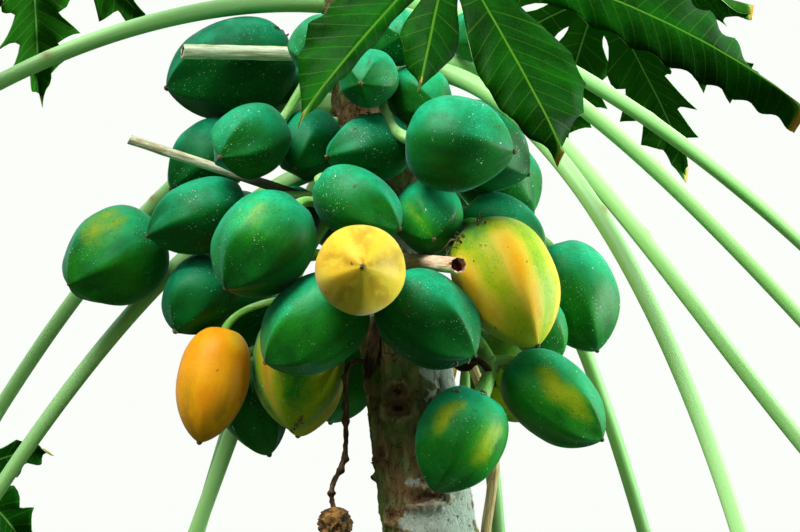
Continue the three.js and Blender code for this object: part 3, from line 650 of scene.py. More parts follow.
def eased(value):
    value = min(max(value, 0), 1)
    return value * value * (3 - 2 * value)


def lobe_rows(length):
    teeth = max(2, round((length - SINUS_REACH) / TOOTH_LENGTH))
    return teeth, INNER_ROWS + teeth * TOOTH_ROWS


def lobe_point(row, side, lobe, halves, tooth_depth):
    """A point of a lobe: ahead and across its rib as shares of the longest lobe, and its place in teeth."""
    _, length, width, lean = lobe
    teeth, _ = lobe_rows(length)
    half_angle, own_sinus = halves[0] if side < 0 else halves[1]
    inner = min(row / INNER_ROWS, 1)
    reach = SINUS_REACH * inner
    narrowing = min(max((reach - own_sinus) / max(SINUS_REACH - own_sinus, SAME_POINT), 0), 1)
    angle = math.radians(half_angle) * (1 - 0.5 * narrowing) * side
    if row <= INNER_ROWS:
        return reach * math.cos(angle), reach * math.sin(angle), INNER_TEETH * (inner - 1)
    along = (row - INNER_ROWS) / TOOTH_ROWS
    share = along / teeth
    rib = SINUS_REACH + (length - SINUS_REACH) * share
    free = eased(along / FREE_AFTER)
    spike = (1 - abs(2 * (along % 1) - 1)) ** TOOTH_CURVE
    outward = min(rib / length, 1)
    envelope = WIDENING * width * (1 + lean * side)
    envelope *= math.sin(math.pi * outward ** LOBE_BELLY) ** LOBE_FULLNESS
    envelope *= (1 - outward ** TIP_POINT) ** LOBE_FULLNESS
    own = envelope * (1 - tooth_depth + tooth_depth * spike)
    half = (1 - free) * SINUS_REACH * math.sin(abs(angle) / max(abs(side), SAME_POINT)) + free * own
    across = side * half
    ahead = rib + free * FORWARD * abs(across) * (1 - share) ** 0.5
    ahead -= (1 - free) * SINUS_REACH * (1 - math.cos(angle))
    return ahead, across, along


def add_blade(shape, name, turn, hub, size, pitch, sag, young):
    """Adds a blade, lobe by lobe, with its lobes sewn together up to the notches between them."""
    lobes = UNEVEN_LOBES.get(name, LOBES)
    tooth_depth = WORN_TOOTH_DEPTH if name in UNEVEN_LOBES else TOOTH_DEPTH
    out = heading(turn)
    tilt = math.radians(pitch)
    ahead_of_hub = out * math.cos(tilt) - UP * math.sin(tilt)
    aside = UP.cross(out)
    normal = ahead_of_hub.cross(aside)
    uv_layer = shape.loops.layers.uv.active
    tip_layer = shape.verts.layers.float["tip"]
    young_layer = shape.verts.layers.float["young"]
    rng = random.Random(name)
    faces = []
    for number, lobe in enumerate(lobes):
        angle, length, *_ = lobe
        rear = 180 - max(abs(lobes[0][0]), abs(lobes[-1][0]))
        right = (rear, REAR_SINUS_REACH) if number == 0 else ((angle - lobes[number - 1][0]) / 2, SINUS_REACH)
        last = number == len(lobes) - 1
        left = (rear, REAR_SINUS_REACH) if last else ((lobes[number + 1][0] - angle) / 2, SINUS_REACH)
        teeth, rows = lobe_rows(length)
        columns = 2 * HALF_COLUMNS
        droop = rng.uniform(0.0, LOBE_DROOP)
        phase = rng.uniform(0, TURN)
        grid = bmesh.ops.create_grid(shape, x_segments=columns, y_segments=rows, size=0.5, calc_uvs=True)
        where = {}
        for vertex in grid["verts"]:
            row = round((vertex.co.y + 0.5) * rows)
            side = 2 * vertex.co.x
            side = math.copysign(abs(side) ** COLUMNS_GATHER, side)
            along, across, tooth = lobe_point(row, side, lobe, (right, left), tooth_depth)
            reach = math.hypot(along, across)
            facing = math.radians(angle) + math.atan2(across, along)
            loose = eased((reach - SINUS_REACH) / SINUS_REACH)
            fold = LOBE_FOLD * reach * abs(side) ** LOBE_FOLD_CURVE + droop * loose * reach
            ruffle = RUFFLE * loose * side * side * math.sin(TURN * tooth + phase + RUFFLE_LAG * side)
            pull = 1 - SAG_PULL * sag * reach ** 2
            lift = QUILTING * loose * (1 - abs(side)) * math.cos(TURN * tooth)
            lift *= min(1, abs(side) * QUILTING_START)
            if abs(side) < RIB_BREADTH:
                lift -= RIB_HEIGHT * (1 - RIB_THINNING * reach / length) * min(1, reach * RIB_START)
            vertex.co = (hub + ahead_of_hub * (reach * math.cos(facing) * pull * size)
                         + aside * (reach * math.sin(facing) * pull * size)
                         - normal * ((fold - ruffle) * size) + normal * lift
                         - UP * (sag * reach ** 2 * size))
            where[vertex] = (across * size, tooth)
            vertex[young_layer] = young
            vertex[tip_layer] = eased((tooth / teeth - TIP_FROM) / TIP_FADE)
        own = faces_at(grid["verts"])
        for face in own:
            for loop in face.loops:
                loop[uv_layer].uv = where[loop.vert]
        faces += own
    bmesh.ops.remove_doubles(shape, verts=verts_of(faces), dist=SEAM_REACH)
    faces = [face for face in faces if face.is_valid]
    bmesh.ops.recalc_face_normals(shape, faces=faces)
    upwards = sum(face.normal.dot(normal) * face.calc_area() for face in faces)
    if upwards < 0:
        bmesh.ops.reverse_faces(shape, faces=faces)
    copied = bmesh.ops.extrude_face_region(shape, geom=faces, use_keep_orig=True)["geom"]
    under = [part for part in copied if isinstance(part, bmesh.types.BMFace)]
    below = [part for part in copied if isinstance(part, bmesh.types.BMVert)]
    faces_up = sum(face.normal.dot(normal) * face.calc_area() for face in under) > 0
    for vertex in below:
        vertex.normal_update()
    for vertex in below:
        vertex.co -= vertex.normal * (BLADE_THICKNESS if faces_up else -BLADE_THICKNESS)
    shell = dict.fromkeys(faces_at(below) + faces)
    bmesh.ops.recalc_face_normals(shape, faces=list(shell))
    return faces, under, normal


YOUNGEST = 0.5
OLD_BELOW = 2.55
YOUNG_ABOVE = 3.2
KNOT_PLACE = 0.52
KNOT_REACH = 0.008
KNOT_TURN = 1
KNOT_BREADTH = 0.5
KNOT_SWELL = 0.0014
JOINT_PLACE = 0.975
JOINT_REACH = 0.015
JOINT_SWELL = 0.0012
LEAF_STALK_END = 0.55  # how much it narrows past the joint
LEAF_STALK_FLUTES = 5
LEAF_STALK_FLUTE = 0.02
LEAF_STALK_UNDER = 0.005  # how far its end lies under the blade
LEAF_STALK_DIP = 0.9  # where it starts to lie lower


def leaf_stalk_radius(share, turn):
    swell = (LEAF_STALK_FOOT_RADIUS - LEAF_STALK_RADIUS) * math.exp(-share * LEAF_STALK_SWELL_FADE)
    taper = LEAF_STALK_RADIUS + (LEAF_STALK_TIP_RADIUS - LEAF_STALK_RADIUS) * share
    joint = JOINT_SWELL * math.exp(-((share - JOINT_PLACE) / JOINT_REACH) ** 2)
    knot_side = max(0, math.cos(turn - KNOT_TURN)) ** 2
    joint += KNOT_SWELL * math.exp(-((share - KNOT_PLACE) / KNOT_REACH) ** 2) * knot_side
    end = 1 - LEAF_STALK_END * eased((share - JOINT_PLACE) / (1 - JOINT_PLACE))
    flutes = 1 + LEAF_STALK_FLUTE * math.cos(LEAF_STALK_FLUTES * turn + 3 * share)
    return (taper + swell + joint) * end * flutes


for name, turn, foot, shoulder, elbow, hub, size, pitch, sag in LEAVES:
    corners = leaf_stalk_corners(turn, foot, shoulder, elbow, hub)
    leaf_shape = new_shape("tip", "young", "knot")
    youth = YOUNGEST * eased((hub[1] - OLD_BELOW) / (YOUNG_ABOVE - OLD_BELOW))
    top, under, normal = add_blade(leaf_shape, name, turn, corners[3], size, pitch, sag, youth)
    for face in top:
        face.material_index = 1
    for face in under:
        face.material_index = 2

    def stalk_path(share, corners=corners, normal=normal):
        dipped = eased((share - LEAF_STALK_DIP) / (1 - LEAF_STALK_DIP))
        return bezier(corners, share) - normal * (LEAF_STALK_UNDER * dipped)

    skin = limb(leaf_shape, stalk_path, leaf_stalk_radius, LEAF_STALK_SIDES, LEAF_STALK_STEPS)
    lie = leaf_shape.verts.layers.float_vector["lie"]
    knot = leaf_shape.verts.layers.float["knot"]
    tall = max(vertex[lie].z for face in skin for vertex in face.verts)
    for vertex in verts_of(skin):
        across = angle_between(math.atan2(vertex[lie].y, vertex[lie].x), KNOT_TURN)
        up = (vertex[lie].z / tall - KNOT_PLACE) / KNOT_REACH
        vertex[knot] = math.exp(-up ** 2 - (across / KNOT_BREADTH) ** 2)
    keep("tree_" + name, leaf_shape, [stalk_skin, blade_top, blade_under], "leaf", name)

# Fruit
# Blunt oval berries with five ridges that meet at the tip, in matt waxy skin. They are dark green, and ripen
# to yellow and orange in stripes. Latex has dried on them in white dots, and a dry nub ends each one.
FRUIT_WIDEST = 0.44
SHOULDER_ROUNDNESS = 2.3
TIP_SWELL = 2.2
TIP_SHARPNESS = 0.72
RIDGE = 0.025
RIDGES = 5
CAD_FRUIT_SIDES = 10
CAD_FRUIT_RINGS = 6
FRUIT_SIDES = 70
FRUIT_RINGS = 50
SEAM = 0.15  # how far the ridges stand out at the tip, as a share of the half width there
SEAM_RANGE = (0.75, 1.15)  # from fruit to fruit
BODY_SEAM = 0.13  # along the body, as a share of the seam at the tip
STEM_SEAM = 0.5  # what is added to that at the stalk
SOFTENING = 1.0  # how much of its seam a ripe fruit has lost
CREST_CURVE = 1.25
CREST_CURVE_LOST = 0.5  # at the tip
CREST_SINK = 0.15  # how far the crests are let into the plain shape
TIP_PART = 0.5  # where the part near the tip begins, and how soon it is in full
TIP_PART_FADE = 0.42
STEM_PART = 0.07
PLEATS = 0.035
PLEATS_ROUND = 2.6
LUMPS = 0.014
LUMP_SCALE = 1.6
LUMP_STRETCH = 1.3
STEM_DIMPLE = 0.035  # as a share of the fruit's length
DIMPLE_REACH = 0.018
STRIPE_WANDER = 0.16
STRIPE_WAVES = 5
VALLEY_PART = 0.35
VALLEY_FADE = 0.4
NUB_SIZE = 0.0026
NUB_RANGE = (0.75, 1.3)
NUB_PETALS = 0.4
NUB_LUMPS = 0.35
NUB_STRETCH = 1.1
NUB_SIDES = 15
NUB_RINGS = 8
VOTE_CELL = 0.0008
SKIN_STEPS = 200
RIPE_SLOT_FROM = 0.36

# A row has a fruit's bunch, where its tip points as a turn and a dip, its length and its width, and how
# ripe it is, from 0 for dark green, by 0.42 for yellow-green and 0.6 for yellow, to 1 for orange.
FRUITS = [
    (1, -174, 19, 0.172, 0.13, 0.0), (2, -110, 39, 0.095, 0.074, 0.1), (3, -80, 20, 0.092, 0.074, 0.05),
    (3, -75, 29, 0.085, 0.064, 0.05), (4, -101, 26, 0.092, 0.072, 0.02), (4, -62, 30, 0.098, 0.078, 0.08),
    (5, -150, 39, 0.092, 0.072, 0.0), (6, -166, 42, 0.12, 0.096, 0.0), (7, -130, 33, 0.112, 0.09, 0.04),
    (8, -116, 49, 0.105, 0.082, 0.0), (9, -158, 17, 0.112, 0.084, 0.0), (10, -13, 11, 0.132, 0.116, 0.02),
    (11, 4, 32, 0.13, 0.108, 0.0), (11, 37, 34, 0.13, 0.104, 0.05), (12, -173, 22, 0.132, 0.092, 0.0),
    (13, -148, 35, 0.142, 0.124, 0.14), (14, -167, 52, 0.138, 0.116, 0.04), (15, -20, 34, 0.122, 0.084, 0.05),
    (16, -82, 42, 0.112, 0.086, 0.08), (17, -8, 36, 0.122, 0.094, 0.04), (18, 9, 66, 0.148, 0.116, 0.05),
    (19, -147, 58, 0.112, 0.088, 0.0), (20, -87, 12, 0.138, 0.104, 0.64), (21, -177, 39, 0.142, 0.112, 0.1),
    (22, -11, 40, 0.138, 0.108, 0.0), (23, -20, 65, 0.172, 0.122, 0.43), (24, -178, 79, 0.146, 0.088, 0.93),
    (25, -179, 85, 0.158, 0.114, 0.39), (26, 110, 58, 0.13, 0.092, 0.5), (26, 53, 59, 0.125, 0.084, 0.05),
    (27, -7, 42, 0.148, 0.098, 0.14), (27, 177, 64, 0.132, 0.106, 0.06), (28, 21, 53, 0.095, 0.072, 0.1),
    (28, 90, 75, 0.108, 0.086, 0.75), (29, 110, 25, 0.125, 0.098, 0.0), (29, 70, 25, 0.12, 0.096, 0.05),
    (30, 140, 30, 0.128, 0.102, 0.1), (30, 95, 30, 0.128, 0.102, 0.0), (31, 60, 32, 0.128, 0.102, 0.05),
    (31, 40, 45, 0.128, 0.102, 0.1), (32, 130, 45, 0.132, 0.104, 0.02), (32, 95, 42, 0.132, 0.104, 0.12),
    (33, 110, 60, 0.135, 0.104, 0.1), (33, 75, 55, 0.132, 0.102, 0.68), (34, 35, 60, 0.128, 0.098, 0.3),
    (34, 90, 70, 0.128, 0.098, 0.06),
]

# Stripes that ripen first or last. A row has the direction of its middle from the fruit's middle, its half
# width in radians, its half length as a share of the fruit's, and how much riper it is.
STRIPES = {
    (13, 0): [((-0.1, -0.8, 0.55), 0.55, 0.26, 0.17)],
    (14, 0): [((-0.05, -0.85, 0.40), 0.45, 0.22, 0.22)],
    (16, 0): [((-0.35, -0.85, -0.1), 0.5, 0.28, 0.17)],
    (18, 0): [((-0.2, -0.8, -0.5), 0.5, 0.25, 0.10)],
    (23, 0): [((0.30, -0.93, -0.1), 0.28, 0.42, 0.33), ((-0.6, -0.3, 0.7), 0.9, 0.16, -0.14),
              ((0.98, -0.2, 0.0), 0.22, 0.5, 0.20), ((-0.75, -0.65, -0.3), 0.30, 0.34, 0.26),
              ((0.62, -0.78, 0.1), 0.16, 0.5, -0.08)],
    (24, 0): [((0.5, -0.4, 0.8), 0.4, 0.1, -0.25)],
    (25, 0): [((-0.62, -0.7, 0.3), 0.24, 0.5, 0.28), ((-0.98, -0.3, 0.0), 0.16, 0.5, -0.12),
              ((0.65, -0.7, 0.1), 0.3, 0.28, 0.14), ((0.0, -0.97, -0.25), 0.45, 0.3, -0.15)],
    (26, 0): [((0.8, -0.5, 0.1), 0.5, 0.4, 0.12)],
    (27, 0): [((0.15, -0.98, 0.0), 0.34, 0.32, 0.28)],
    (27, 1): [((-0.26, -0.88, 0.40), 0.36, 0.24, 0.33), ((0.69, -0.70, -0.19), 0.42, 0.28, 0.30)],
    (33, 1): [((0.0, 0.9, 0.3), 0.5, 0.3, -0.3)],
    (34, 0): [((0.4, 0.8, 0.2), 0.4, 0.4, 0.25)],
}
# Where a ridge faces on the fruit whose ridges show.
RIDGE_TOWARDS = {
    (1, 0): (0.0, -0.6, -0.8), (7, 0): (0.3, -0.6, 0.8), (9, 0): (0.0, -0.9, -0.3),
    (10, 0): (0.0, -0.96, -0.15), (12, 0): (0.0, -0.9, -0.2), (14, 0): (-0.3, -0.9, 0.3),
    (15, 0): (0.0, -0.8, 0.7), (20, 0): (0.0, 0.0, -1.0), (21, 0): (-0.2, -0.9, 0.3),
    (22, 0): (0.0, -0.85, 0.5), (23, 0): (0.15, -1.0, 0.0), (25, 0): (-0.35, -0.9, 0.0),
    (27, 0): (0.0, -0.8, 0.6),
}

SKIN_COLOURS = [
    (0.0, (0.001, 0.105, 0.011, 1)), (0.22, (0.022, 0.26, 0.008, 1)), (0.42, (0.34, 0.42, 0.006, 1)),
    (0.6, (0.68, 0.47, 0.035, 1)), (0.8, (0.76, 0.36, 0.004, 1)), (1.0, (0.66, 0.23, 0.002, 1)),
]
SKIN_DEEP = (0.001, 0.040, 0.005, 1)
BLOOM_AND_PAINTED_SKY_LIGHT = (0.008, 0.42, 0.21, 1)
LATEX = (0.52, 0.72, 0.58, 1)
SKIN_SHADE = (0.004, 0.016, 0.004, 1)
SKIN_BROWN = (0.10, 0.045, 0.012, 1)
DRY_NUB = (0.06, 0.042, 0.024, 1)
NUB_TAN = (0.26, 0.19, 0.09, 1)
VALLEY_OCHRE_AND_SHADE = (0.36, 0.20, 0.006, 1)

fruit_skin, tree, shader, _ = finish("fruit_skin", roughness=0.45, shine=0.12)
shader.inputs["Sheen Weight"].default_value = 0.16
shader.inputs["Sheen Roughness"].default_value = 0.35
shader.inputs["Sheen Tint"].default_value = (0.35, 0.85, 1.0, 1)
own = lying(tree)
lengthwise = stretched(tree, own, (1.0, 0.13, 1.0))
ripeness = surface(tree, "ripe")
streaky = sums(tree, "SUBTRACT", noise_value(tree, lengthwise, 85.0, 5.0), 0.5)
blotchy = sums(tree, "SUBTRACT", noise_value(tree, own, 28.0, 6.0, 0.65), 0.5)
unsettled = stepped(tree, ripeness, 0.02, 0.4, 0.25, 1.0)
uneven = times(tree, plus(tree, times(tree, streaky, 0.22), times(tree, blotchy, 0.30)), unsettled)
ripeness = plus(tree, ripeness, uneven)
ramp = node(tree, "ShaderNodeValToRGB", {0: ripeness})
while len(ramp.color_ramp.elements) < len(SKIN_COLOURS):
    ramp.color_ramp.elements.new(0.5)
for stop, (at, shade) in zip(ramp.color_ramp.elements, SKIN_COLOURS):
    stop.position = at
    stop.color = shade
colour = ramp.outputs[0]
unripe = stepped(tree, ripeness, 0.38, 0.18)
deep = masked(tree, patches, lengthwise, Scale=48.0, Edge=0.54, Softness=0.14)
colour = layered(tree, times(tree, times(tree, deep, 0.55), unripe), colour, SKIN_DEEP)
# Wax bloom and painted sky light: unripe skin turns a pale blue-green the more it faces up, as if lit from
# above and reflecting the sky.
bloom_and_top_light = stepped(tree, facing_up(tree), -0.25, 0.65, 0.0, 0.75)
rubbed = masked(tree, patches, own, Scale=40.0, Edge=0.5, Softness=0.16)
bloom_and_top_light = times(tree, bloom_and_top_light, plus(tree, times(tree, rubbed, 0.5), 0.5))
colour = layered(tree, times(tree, bloom_and_top_light, unripe), colour, BLOOM_AND_PAINTED_SKY_LIGHT)
# In the valleys between the ridges of ripe fruit the skin turns a darker ochre: partly its own tint, partly
# painted crease shade.
valley = times(tree, surface(tree, "valley"), stepped(tree, ripeness, 0.5, 0.62, 0.0, 0.7))
colour = layered(tree, times(tree, valley, stepped(tree, streaky, -0.2, 0.1)), colour, VALLEY_OCHRE_AND_SHADE)
fine_grain = noise_value(tree, own, 340.0, 5.0, 0.7)
speckled = stepped(tree, fine_grain, 0.5, 0.25, 0.0, 0.6)
speckled = times(tree, speckled, stepped(tree, ripeness, 0.3, 0.6, 1.0, 0.25))
colour = layered(tree, speckled, colour, SKIN_SHADE)
scuffs = masked(tree, patches, own, Scale=95.0, Edge=0.69, Softness=0.02)
colour = layered(tree, times(tree, scuffs, 0.8), colour, SKIN_BROWN)
pricks = masked(tree, specks, own, Scale=150.0, Size=0.14, Share=0.07)
colour = layered(tree, times(tree, pricks, 0.8), colour, SKIN_BROWN)
spattered = masked(tree, patches, own, Scale=24.0, Edge=0.54, Softness=0.05)
dust = times(tree, masked(tree, specks, own, Scale=520.0, Size=0.24, Share=0.4), spattered)
drops = masked(tree, specks, own, Scale=170.0, Size=0.15, Share=0.10)
drops = times(tree, drops, masked(tree, patches, own, Scale=26.0, Edge=0.49, Softness=0.03))
runs = masked(tree, specks, stretched(tree, own, (1.0, 0.3, 1.0)), Scale=110.0, Size=0.10, Share=0.05)
latex = sums(tree, "MAXIMUM", sums(tree, "MAXIMUM", dust, drops), runs)
latex = times(tree, latex, stepped(tree, ripeness, 0.7, 0.4, 0.12, 1.0))
colour = layered(tree, times(tree, latex, 0.9), colour, LATEX)
height = plus(tree, times(tree, fine_grain, 0.8), latex)
height = sums(tree, "SUBTRACT", height, plus(tree, scuffs, pricks))
coloured(tree, shader, colour, height, depth=0.0008, strength=0.6)

nub_skin, tree, shader, place = finish("dry_nub", roughness=0.9)
crumbs = noise_value(tree, place, 700.0, 5.0, 0.7)
colour = layered(tree, stepped(tree, crumbs, 0.4, 0.65), DRY_NUB, NUB_TAN)
coloured(tree, shader, colour, crumbs, depth=0.002)

FRUIT_STALK_GREEN = (0.15, 0.44, 0.06, 1)
FRUIT_STALK_GREY = (0.34, 0.57, 0.22, 1)
FRUIT_STALK_CORK = (0.32, 0.22, 0.09, 1)

fruit_stalk_skin, tree, shader, _ = finish("fruit_stalk", roughness=0.6)
own = lying(tree)
along_stalk = stretched(tree, own, (1.0, 1.0, 0.25))
colour = layered(tree, masked(tree, patches, along_stalk, Scale=110.0, Edge=0.5, Softness=0.12),
                 FRUIT_STALK_GREEN, FRUIT_STALK_GREY)
corky = masked(tree, specks, own, Scale=230.0, Size=0.28, Share=0.22)
colour = layered(tree, times(tree, corky, 0.8), colour, FRUIT_STALK_CORK)
height = plus(tree, noise_value(tree, along_stalk, 330.0, 5.0), times(tree, corky, 0.6))
coloured(tree, shader, colour, height, depth=0.0012, strength=0.7)


def fruit_profile(share):
    """A fruit's half width at a share of its length from the stalk, as a share of its widest."""
    share = min(max(share, 0), 1)
    if share < FRUIT_WIDEST:
        back = (FRUIT_WIDEST - share) / FRUIT_WIDEST
        return (1 - back ** SHOULDER_ROUNDNESS) ** (1 / SHOULDER_ROUNDNESS)
    ahead = (share - FRUIT_WIDEST) / (1 - FRUIT_WIDEST)
    return max(1 - ahead ** TIP_SWELL, 0) ** TIP_SHARPNESS


def fruit_axis(turn, dip):
    return heading(turn) * math.cos(math.radians(dip)) - UP * math.sin(math.radians(dip))


def fruit_point(share, angle, length, half_width):
    """A point of a fruit that hangs straight down from the middle of its length."""
    return Vector((math.cos(angle) * half_width, (0.5 - share) * length, math.sin(angle) * half_width))


def fruit_middle(corners, length, width, turned):
    """Where a fruit hangs: its CAD node's corners, each less a corner of the plain fruit, agree on it."""
    plain = []
    for ring in range(1, CAD_FRUIT_RINGS):
        share = (1 - math.cos(math.pi * ring / CAD_FRUIT_RINGS)) / 2
        for side in range(CAD_FRUIT_SIDES):
            angle = TURN * side / CAD_FRUIT_SIDES
            half_width = fruit_profile(share) * (1 + RIDGE * math.cos(RIDGES * angle)) * width / 2
            plain.append(turned @ fruit_point(share, angle, length, half_width))
    guesses = (corners[:, None] - np.array(plain)[None]).reshape(-1, 3)
    cells, votes = np.unique((guesses / VOTE_CELL).round(), axis=0, return_counts=True)
    winner = cells[votes.argmax()] * VOTE_CELL
    close = np.linalg.norm(guesses - winner, axis=1) < VOTE_CELL
    return Vector(guesses[close].mean(axis=0))


def skin_place(towards, turned, length, width):
    """The angle and the share of the length at which a direction from a fruit's middle meets its skin."""
    local = turned.inverted() @ Vector(towards).normalized()
    level = math.hypot(local.x, local.z)

    def miss(share):
        return abs((0.5 - share) * length * level - local.y * fruit_profile(share) * width / 2)

    shares = (step / SKIN_STEPS for step in range(1, SKIN_STEPS))
    return math.atan2(local.z, local.x), min(shares, key=miss)


def add_fruit(shape, middle, turned, length, width, ripe, stripes, ridge, seed):
    """Adds a fruit from a ball, with its ridges, lumps and dimple, and how ripe it is at each point."""
    ripe_layer = shape.verts.layers.float["ripe"]
    valley_layer = shape.verts.layers.float["valley"]
    lie = shape.verts.layers.float_vector["lie"]
    rng = random.Random(seed)
    seam = SEAM * rng.uniform(*SEAM_RANGE) * (1 - SOFTENING * ripe)
    off = Vector([rng.uniform(-2, 2) for _ in range(3)])
    phase = rng.uniform(0, TURN) if ridge is None else skin_place(ridge, turned, length, width)[0]
    placed = [(*skin_place(towards, turned, length, width), half_width, reach, change)
              for towards, half_width, reach, change in stripes]
    ball = bmesh.ops.create_uvsphere(shape, u_segments=FRUIT_SIDES, v_segments=FRUIT_RINGS, radius=1)
    for vertex in ball["verts"]:
        share = (1 - vertex.co.z) / 2
        angle = math.atan2(vertex.co.y, vertex.co.x) + phase
        near_tip = eased((share - TIP_PART) / TIP_PART_FADE)
        near_stem = math.exp(-(share / STEM_PART) ** 2)
        crest_curve = CREST_CURVE - CREST_CURVE_LOST * near_tip
        crest = 1 - 2 * abs(math.sin(RIDGES * (angle - phase) / 2)) ** crest_curve
        weight = BODY_SEAM + (1 - BODY_SEAM) * near_tip + STEM_SEAM * near_stem
        lump = noise.noise(off + Vector((vertex.co.x, vertex.co.y, vertex.co.z * LUMP_STRETCH)) * LUMP_SCALE)
        around = Vector((math.cos(angle), math.sin(angle), 0))
        pleat = noise.noise(around * PLEATS_ROUND + off) * near_tip ** 2
        swell = 1 + seam * weight * (crest - CREST_SINK) + LUMPS * lump + PLEATS * pleat
        point = fruit_point(share, angle, length, fruit_profile(share) * swell * width / 2)
        point.y -= STEM_DIMPLE * length * math.exp(-(share / DIMPLE_REACH) ** 2)
        vertex[lie] = point + off
        wander = STRIPE_WANDER * noise.noise(off + Vector((share * STRIPE_WAVES, 0, 0)))
        vertex[ripe_layer] = ripe + sum(
            change * math.exp(-(angle_between(angle + wander, at) / half_width) ** 2)
            * math.exp(-((share - from_stem) / reach) ** 4)
            for at, from_stem, half_width, reach, change in placed)
        vertex[valley_layer] = max(0, -crest) * max(eased((share - VALLEY_PART) / VALLEY_FADE), near_stem)
        vertex.co = middle + turned @ point
    nub_end = middle + turned @ Vector((0, -0.5 * length, 0))
    nub = bmesh.ops.create_uvsphere(shape, u_segments=NUB_SIDES, v_segments=NUB_RINGS, radius=1)
    nub_size = NUB_SIZE * rng.uniform(*NUB_RANGE)
    for vertex in nub["verts"]:
        angle = math.atan2(vertex.co.y, vertex.co.x)
        petal = 1 + NUB_PETALS * math.cos(RIDGES * angle) * (1 - abs(vertex.co.z))
        petal += NUB_LUMPS * noise.noise(vertex.co * 2 + off)
        squashed = Vector((vertex.co.x * petal, vertex.co.z * NUB_STRETCH, vertex.co.y * petal))
        vertex.co = nub_end + turned @ (squashed * nub_size)
    for face in faces_at(nub["verts"]):
        face.material_index = 1


# Dried flower bits
# Crumpled threads of old flowers, dry and dark brown, that never fell off. Tufts of them are stuck to the
# skin of some fruit, each thread sunk into it at its root.
THREAD_RADIUS = 0.0011
THREAD_SIDES = 7
THREAD_STEPS = 12
THREAD_SINK = 0.0015
THREAD_LENGTHS = (0.5, 1.1)
THREAD_GIRTHS = (0.6, 1.5)
THREAD_NARROWING = 0.55
THREAD_ROUGHNESS = 0.4
ROOTS_ROUND = 0.16  # how far apart the roots of one tuft lie, in radians and as a share of the length
ROOTS_ALONG = 0.05
THREADS = {
    (1, 0): [((0.75, -0.35, 0.55), 4, 0.014)],
    (6, 0): [((-0.72, -0.18, -0.67), 7, 0.006)],
    (9, 0): [((-0.1, -0.5, 0.85), 5, 0.010), ((-0.45, -0.5, 0.75), 4, 0.008)],
    (23, 0): [((-0.72, -0.35, 0.62), 7, 0.030), ((-0.4, -0.3, 0.85), 4, 0.020)],
    (26, 0): [((0.0, -0.6, -0.8), 5, 0.012)],
    (25, 0): [((0.0, -0.2, -1.0), 9, 0.010)],
    (22, 0): [((0.55, -0.2, -0.75), 5, 0.008)],
    (27, 1): [((0.0, -0.5, 0.85), 5, 0.007), ((0.45, -0.5, 0.8), 4, 0.007)],
    (28, 0): [((0.3, -0.6, 0.7), 3, 0.010)],
}


def add_threads(shape, middle, turned, length, width, spots, seed):
    rng = random.Random(seed)
    for towards, count, reach in spots:
        angle, share = skin_place(towards, turned, length, width)
        for _ in range(count):
            own_angle = angle + rng.uniform(-ROOTS_ROUND, ROOTS_ROUND)
            own_share = min(max(share + rng.uniform(-ROOTS_ALONG, ROOTS_ALONG), 0.03), 0.99)
            half_width = fruit_profile(own_share) * width / 2
            at = middle + turned @ fruit_point(own_share, own_angle, length, half_width)
            out = (at - middle).normalized()
            aside = out.orthogonal().normalized()
            aside = aside * rng.uniform(-1, 1) + out.cross(aside) * rng.uniform(-1, 1)
            own_reach = reach * rng.uniform(*THREAD_LENGTHS)
            bend = out * rng.uniform(0.2, 0.7) + aside
            corners = [at - out * THREAD_SINK, at + out * own_reach * 0.5, at + bend * own_reach * 0.6,
                       at + (bend * 0.8 + aside * rng.uniform(-0.4, 0.4) - UP * 0.25) * own_reach]
            girth = THREAD_RADIUS * rng.uniform(*THREAD_GIRTHS)

            def radius_at(thread_share, turn, girth=girth, out=out):
                lump = noise.noise(Vector((thread_share * 7, math.cos(turn), out.x * 30)))
                return girth * (1 - THREAD_NARROWING * thread_share + THREAD_ROUGHNESS * lump)

            limb(shape, lambda thread_share: bezier(corners, thread_share), radius_at,
                 THREAD_SIDES, THREAD_STEPS, material=1)


# Fruit stalks
# Short stalks, green under flecks of cork, thicker at both ends. Fruit that share a bunch share a neck from
# the trunk to a fork.
FRUIT_STALK_RADIUS = 0.006
FRUIT_STALK_BEND = 0.25
FRUIT_STALK_SINK = 0.009
FRUIT_STALK_SIDES = 20
FRUIT_STALK_STEPS = 26
FRUIT_STALK_ROOT_SWELL, FRUIT_STALK_ROOT_REACH = 0.28, 0.16
FRUIT_STALK_END_SWELL, FRUIT_STALK_END_REACH = 0.30, 0.14
FRUIT_STALK_KNOTS = 0.07
FRUIT_STALK_KNOT_WAVES = 9
FRUIT_STALK_FLUTES = 5
FRUIT_STALK_FLUTE = 0.05
FORK_REACH = 0.024
FORK_SINK = 0.004
FORKS = {27: (-0.094, -0.060, 2.160)}
OTHER_RADII = {24: 0.0042, 27: 0.009}
TRUNK_SKIN = 0.0015


def stalk_corners(start, out, end, axis):
    handle = (end - start).length * FRUIT_STALK_BEND
    return [start, start + out * handle, end - axis * handle, end + axis * FRUIT_STALK_SINK]


def add_fruit_stalk(shape, corners, radius, seed):
    def radius_at(share, turn):
        ends = FRUIT_STALK_ROOT_SWELL * math.exp(-(share / FRUIT_STALK_ROOT_REACH) ** 2)
        ends += FRUIT_STALK_END_SWELL * math.exp(-((1 - share) / FRUIT_STALK_END_REACH) ** 2)
        knot_place = Vector((share * FRUIT_STALK_KNOT_WAVES, math.cos(turn), math.sin(turn) + seed))
        flutes = FRUIT_STALK_FLUTE * math.cos(FRUIT_STALK_FLUTES * turn)
        return radius * (1 + ends + FRUIT_STALK_KNOTS * noise.noise(knot_place) + flutes)

    limb(shape, lambda share: bezier(corners, share), radius_at,
         FRUIT_STALK_SIDES, FRUIT_STALK_STEPS, material=2)


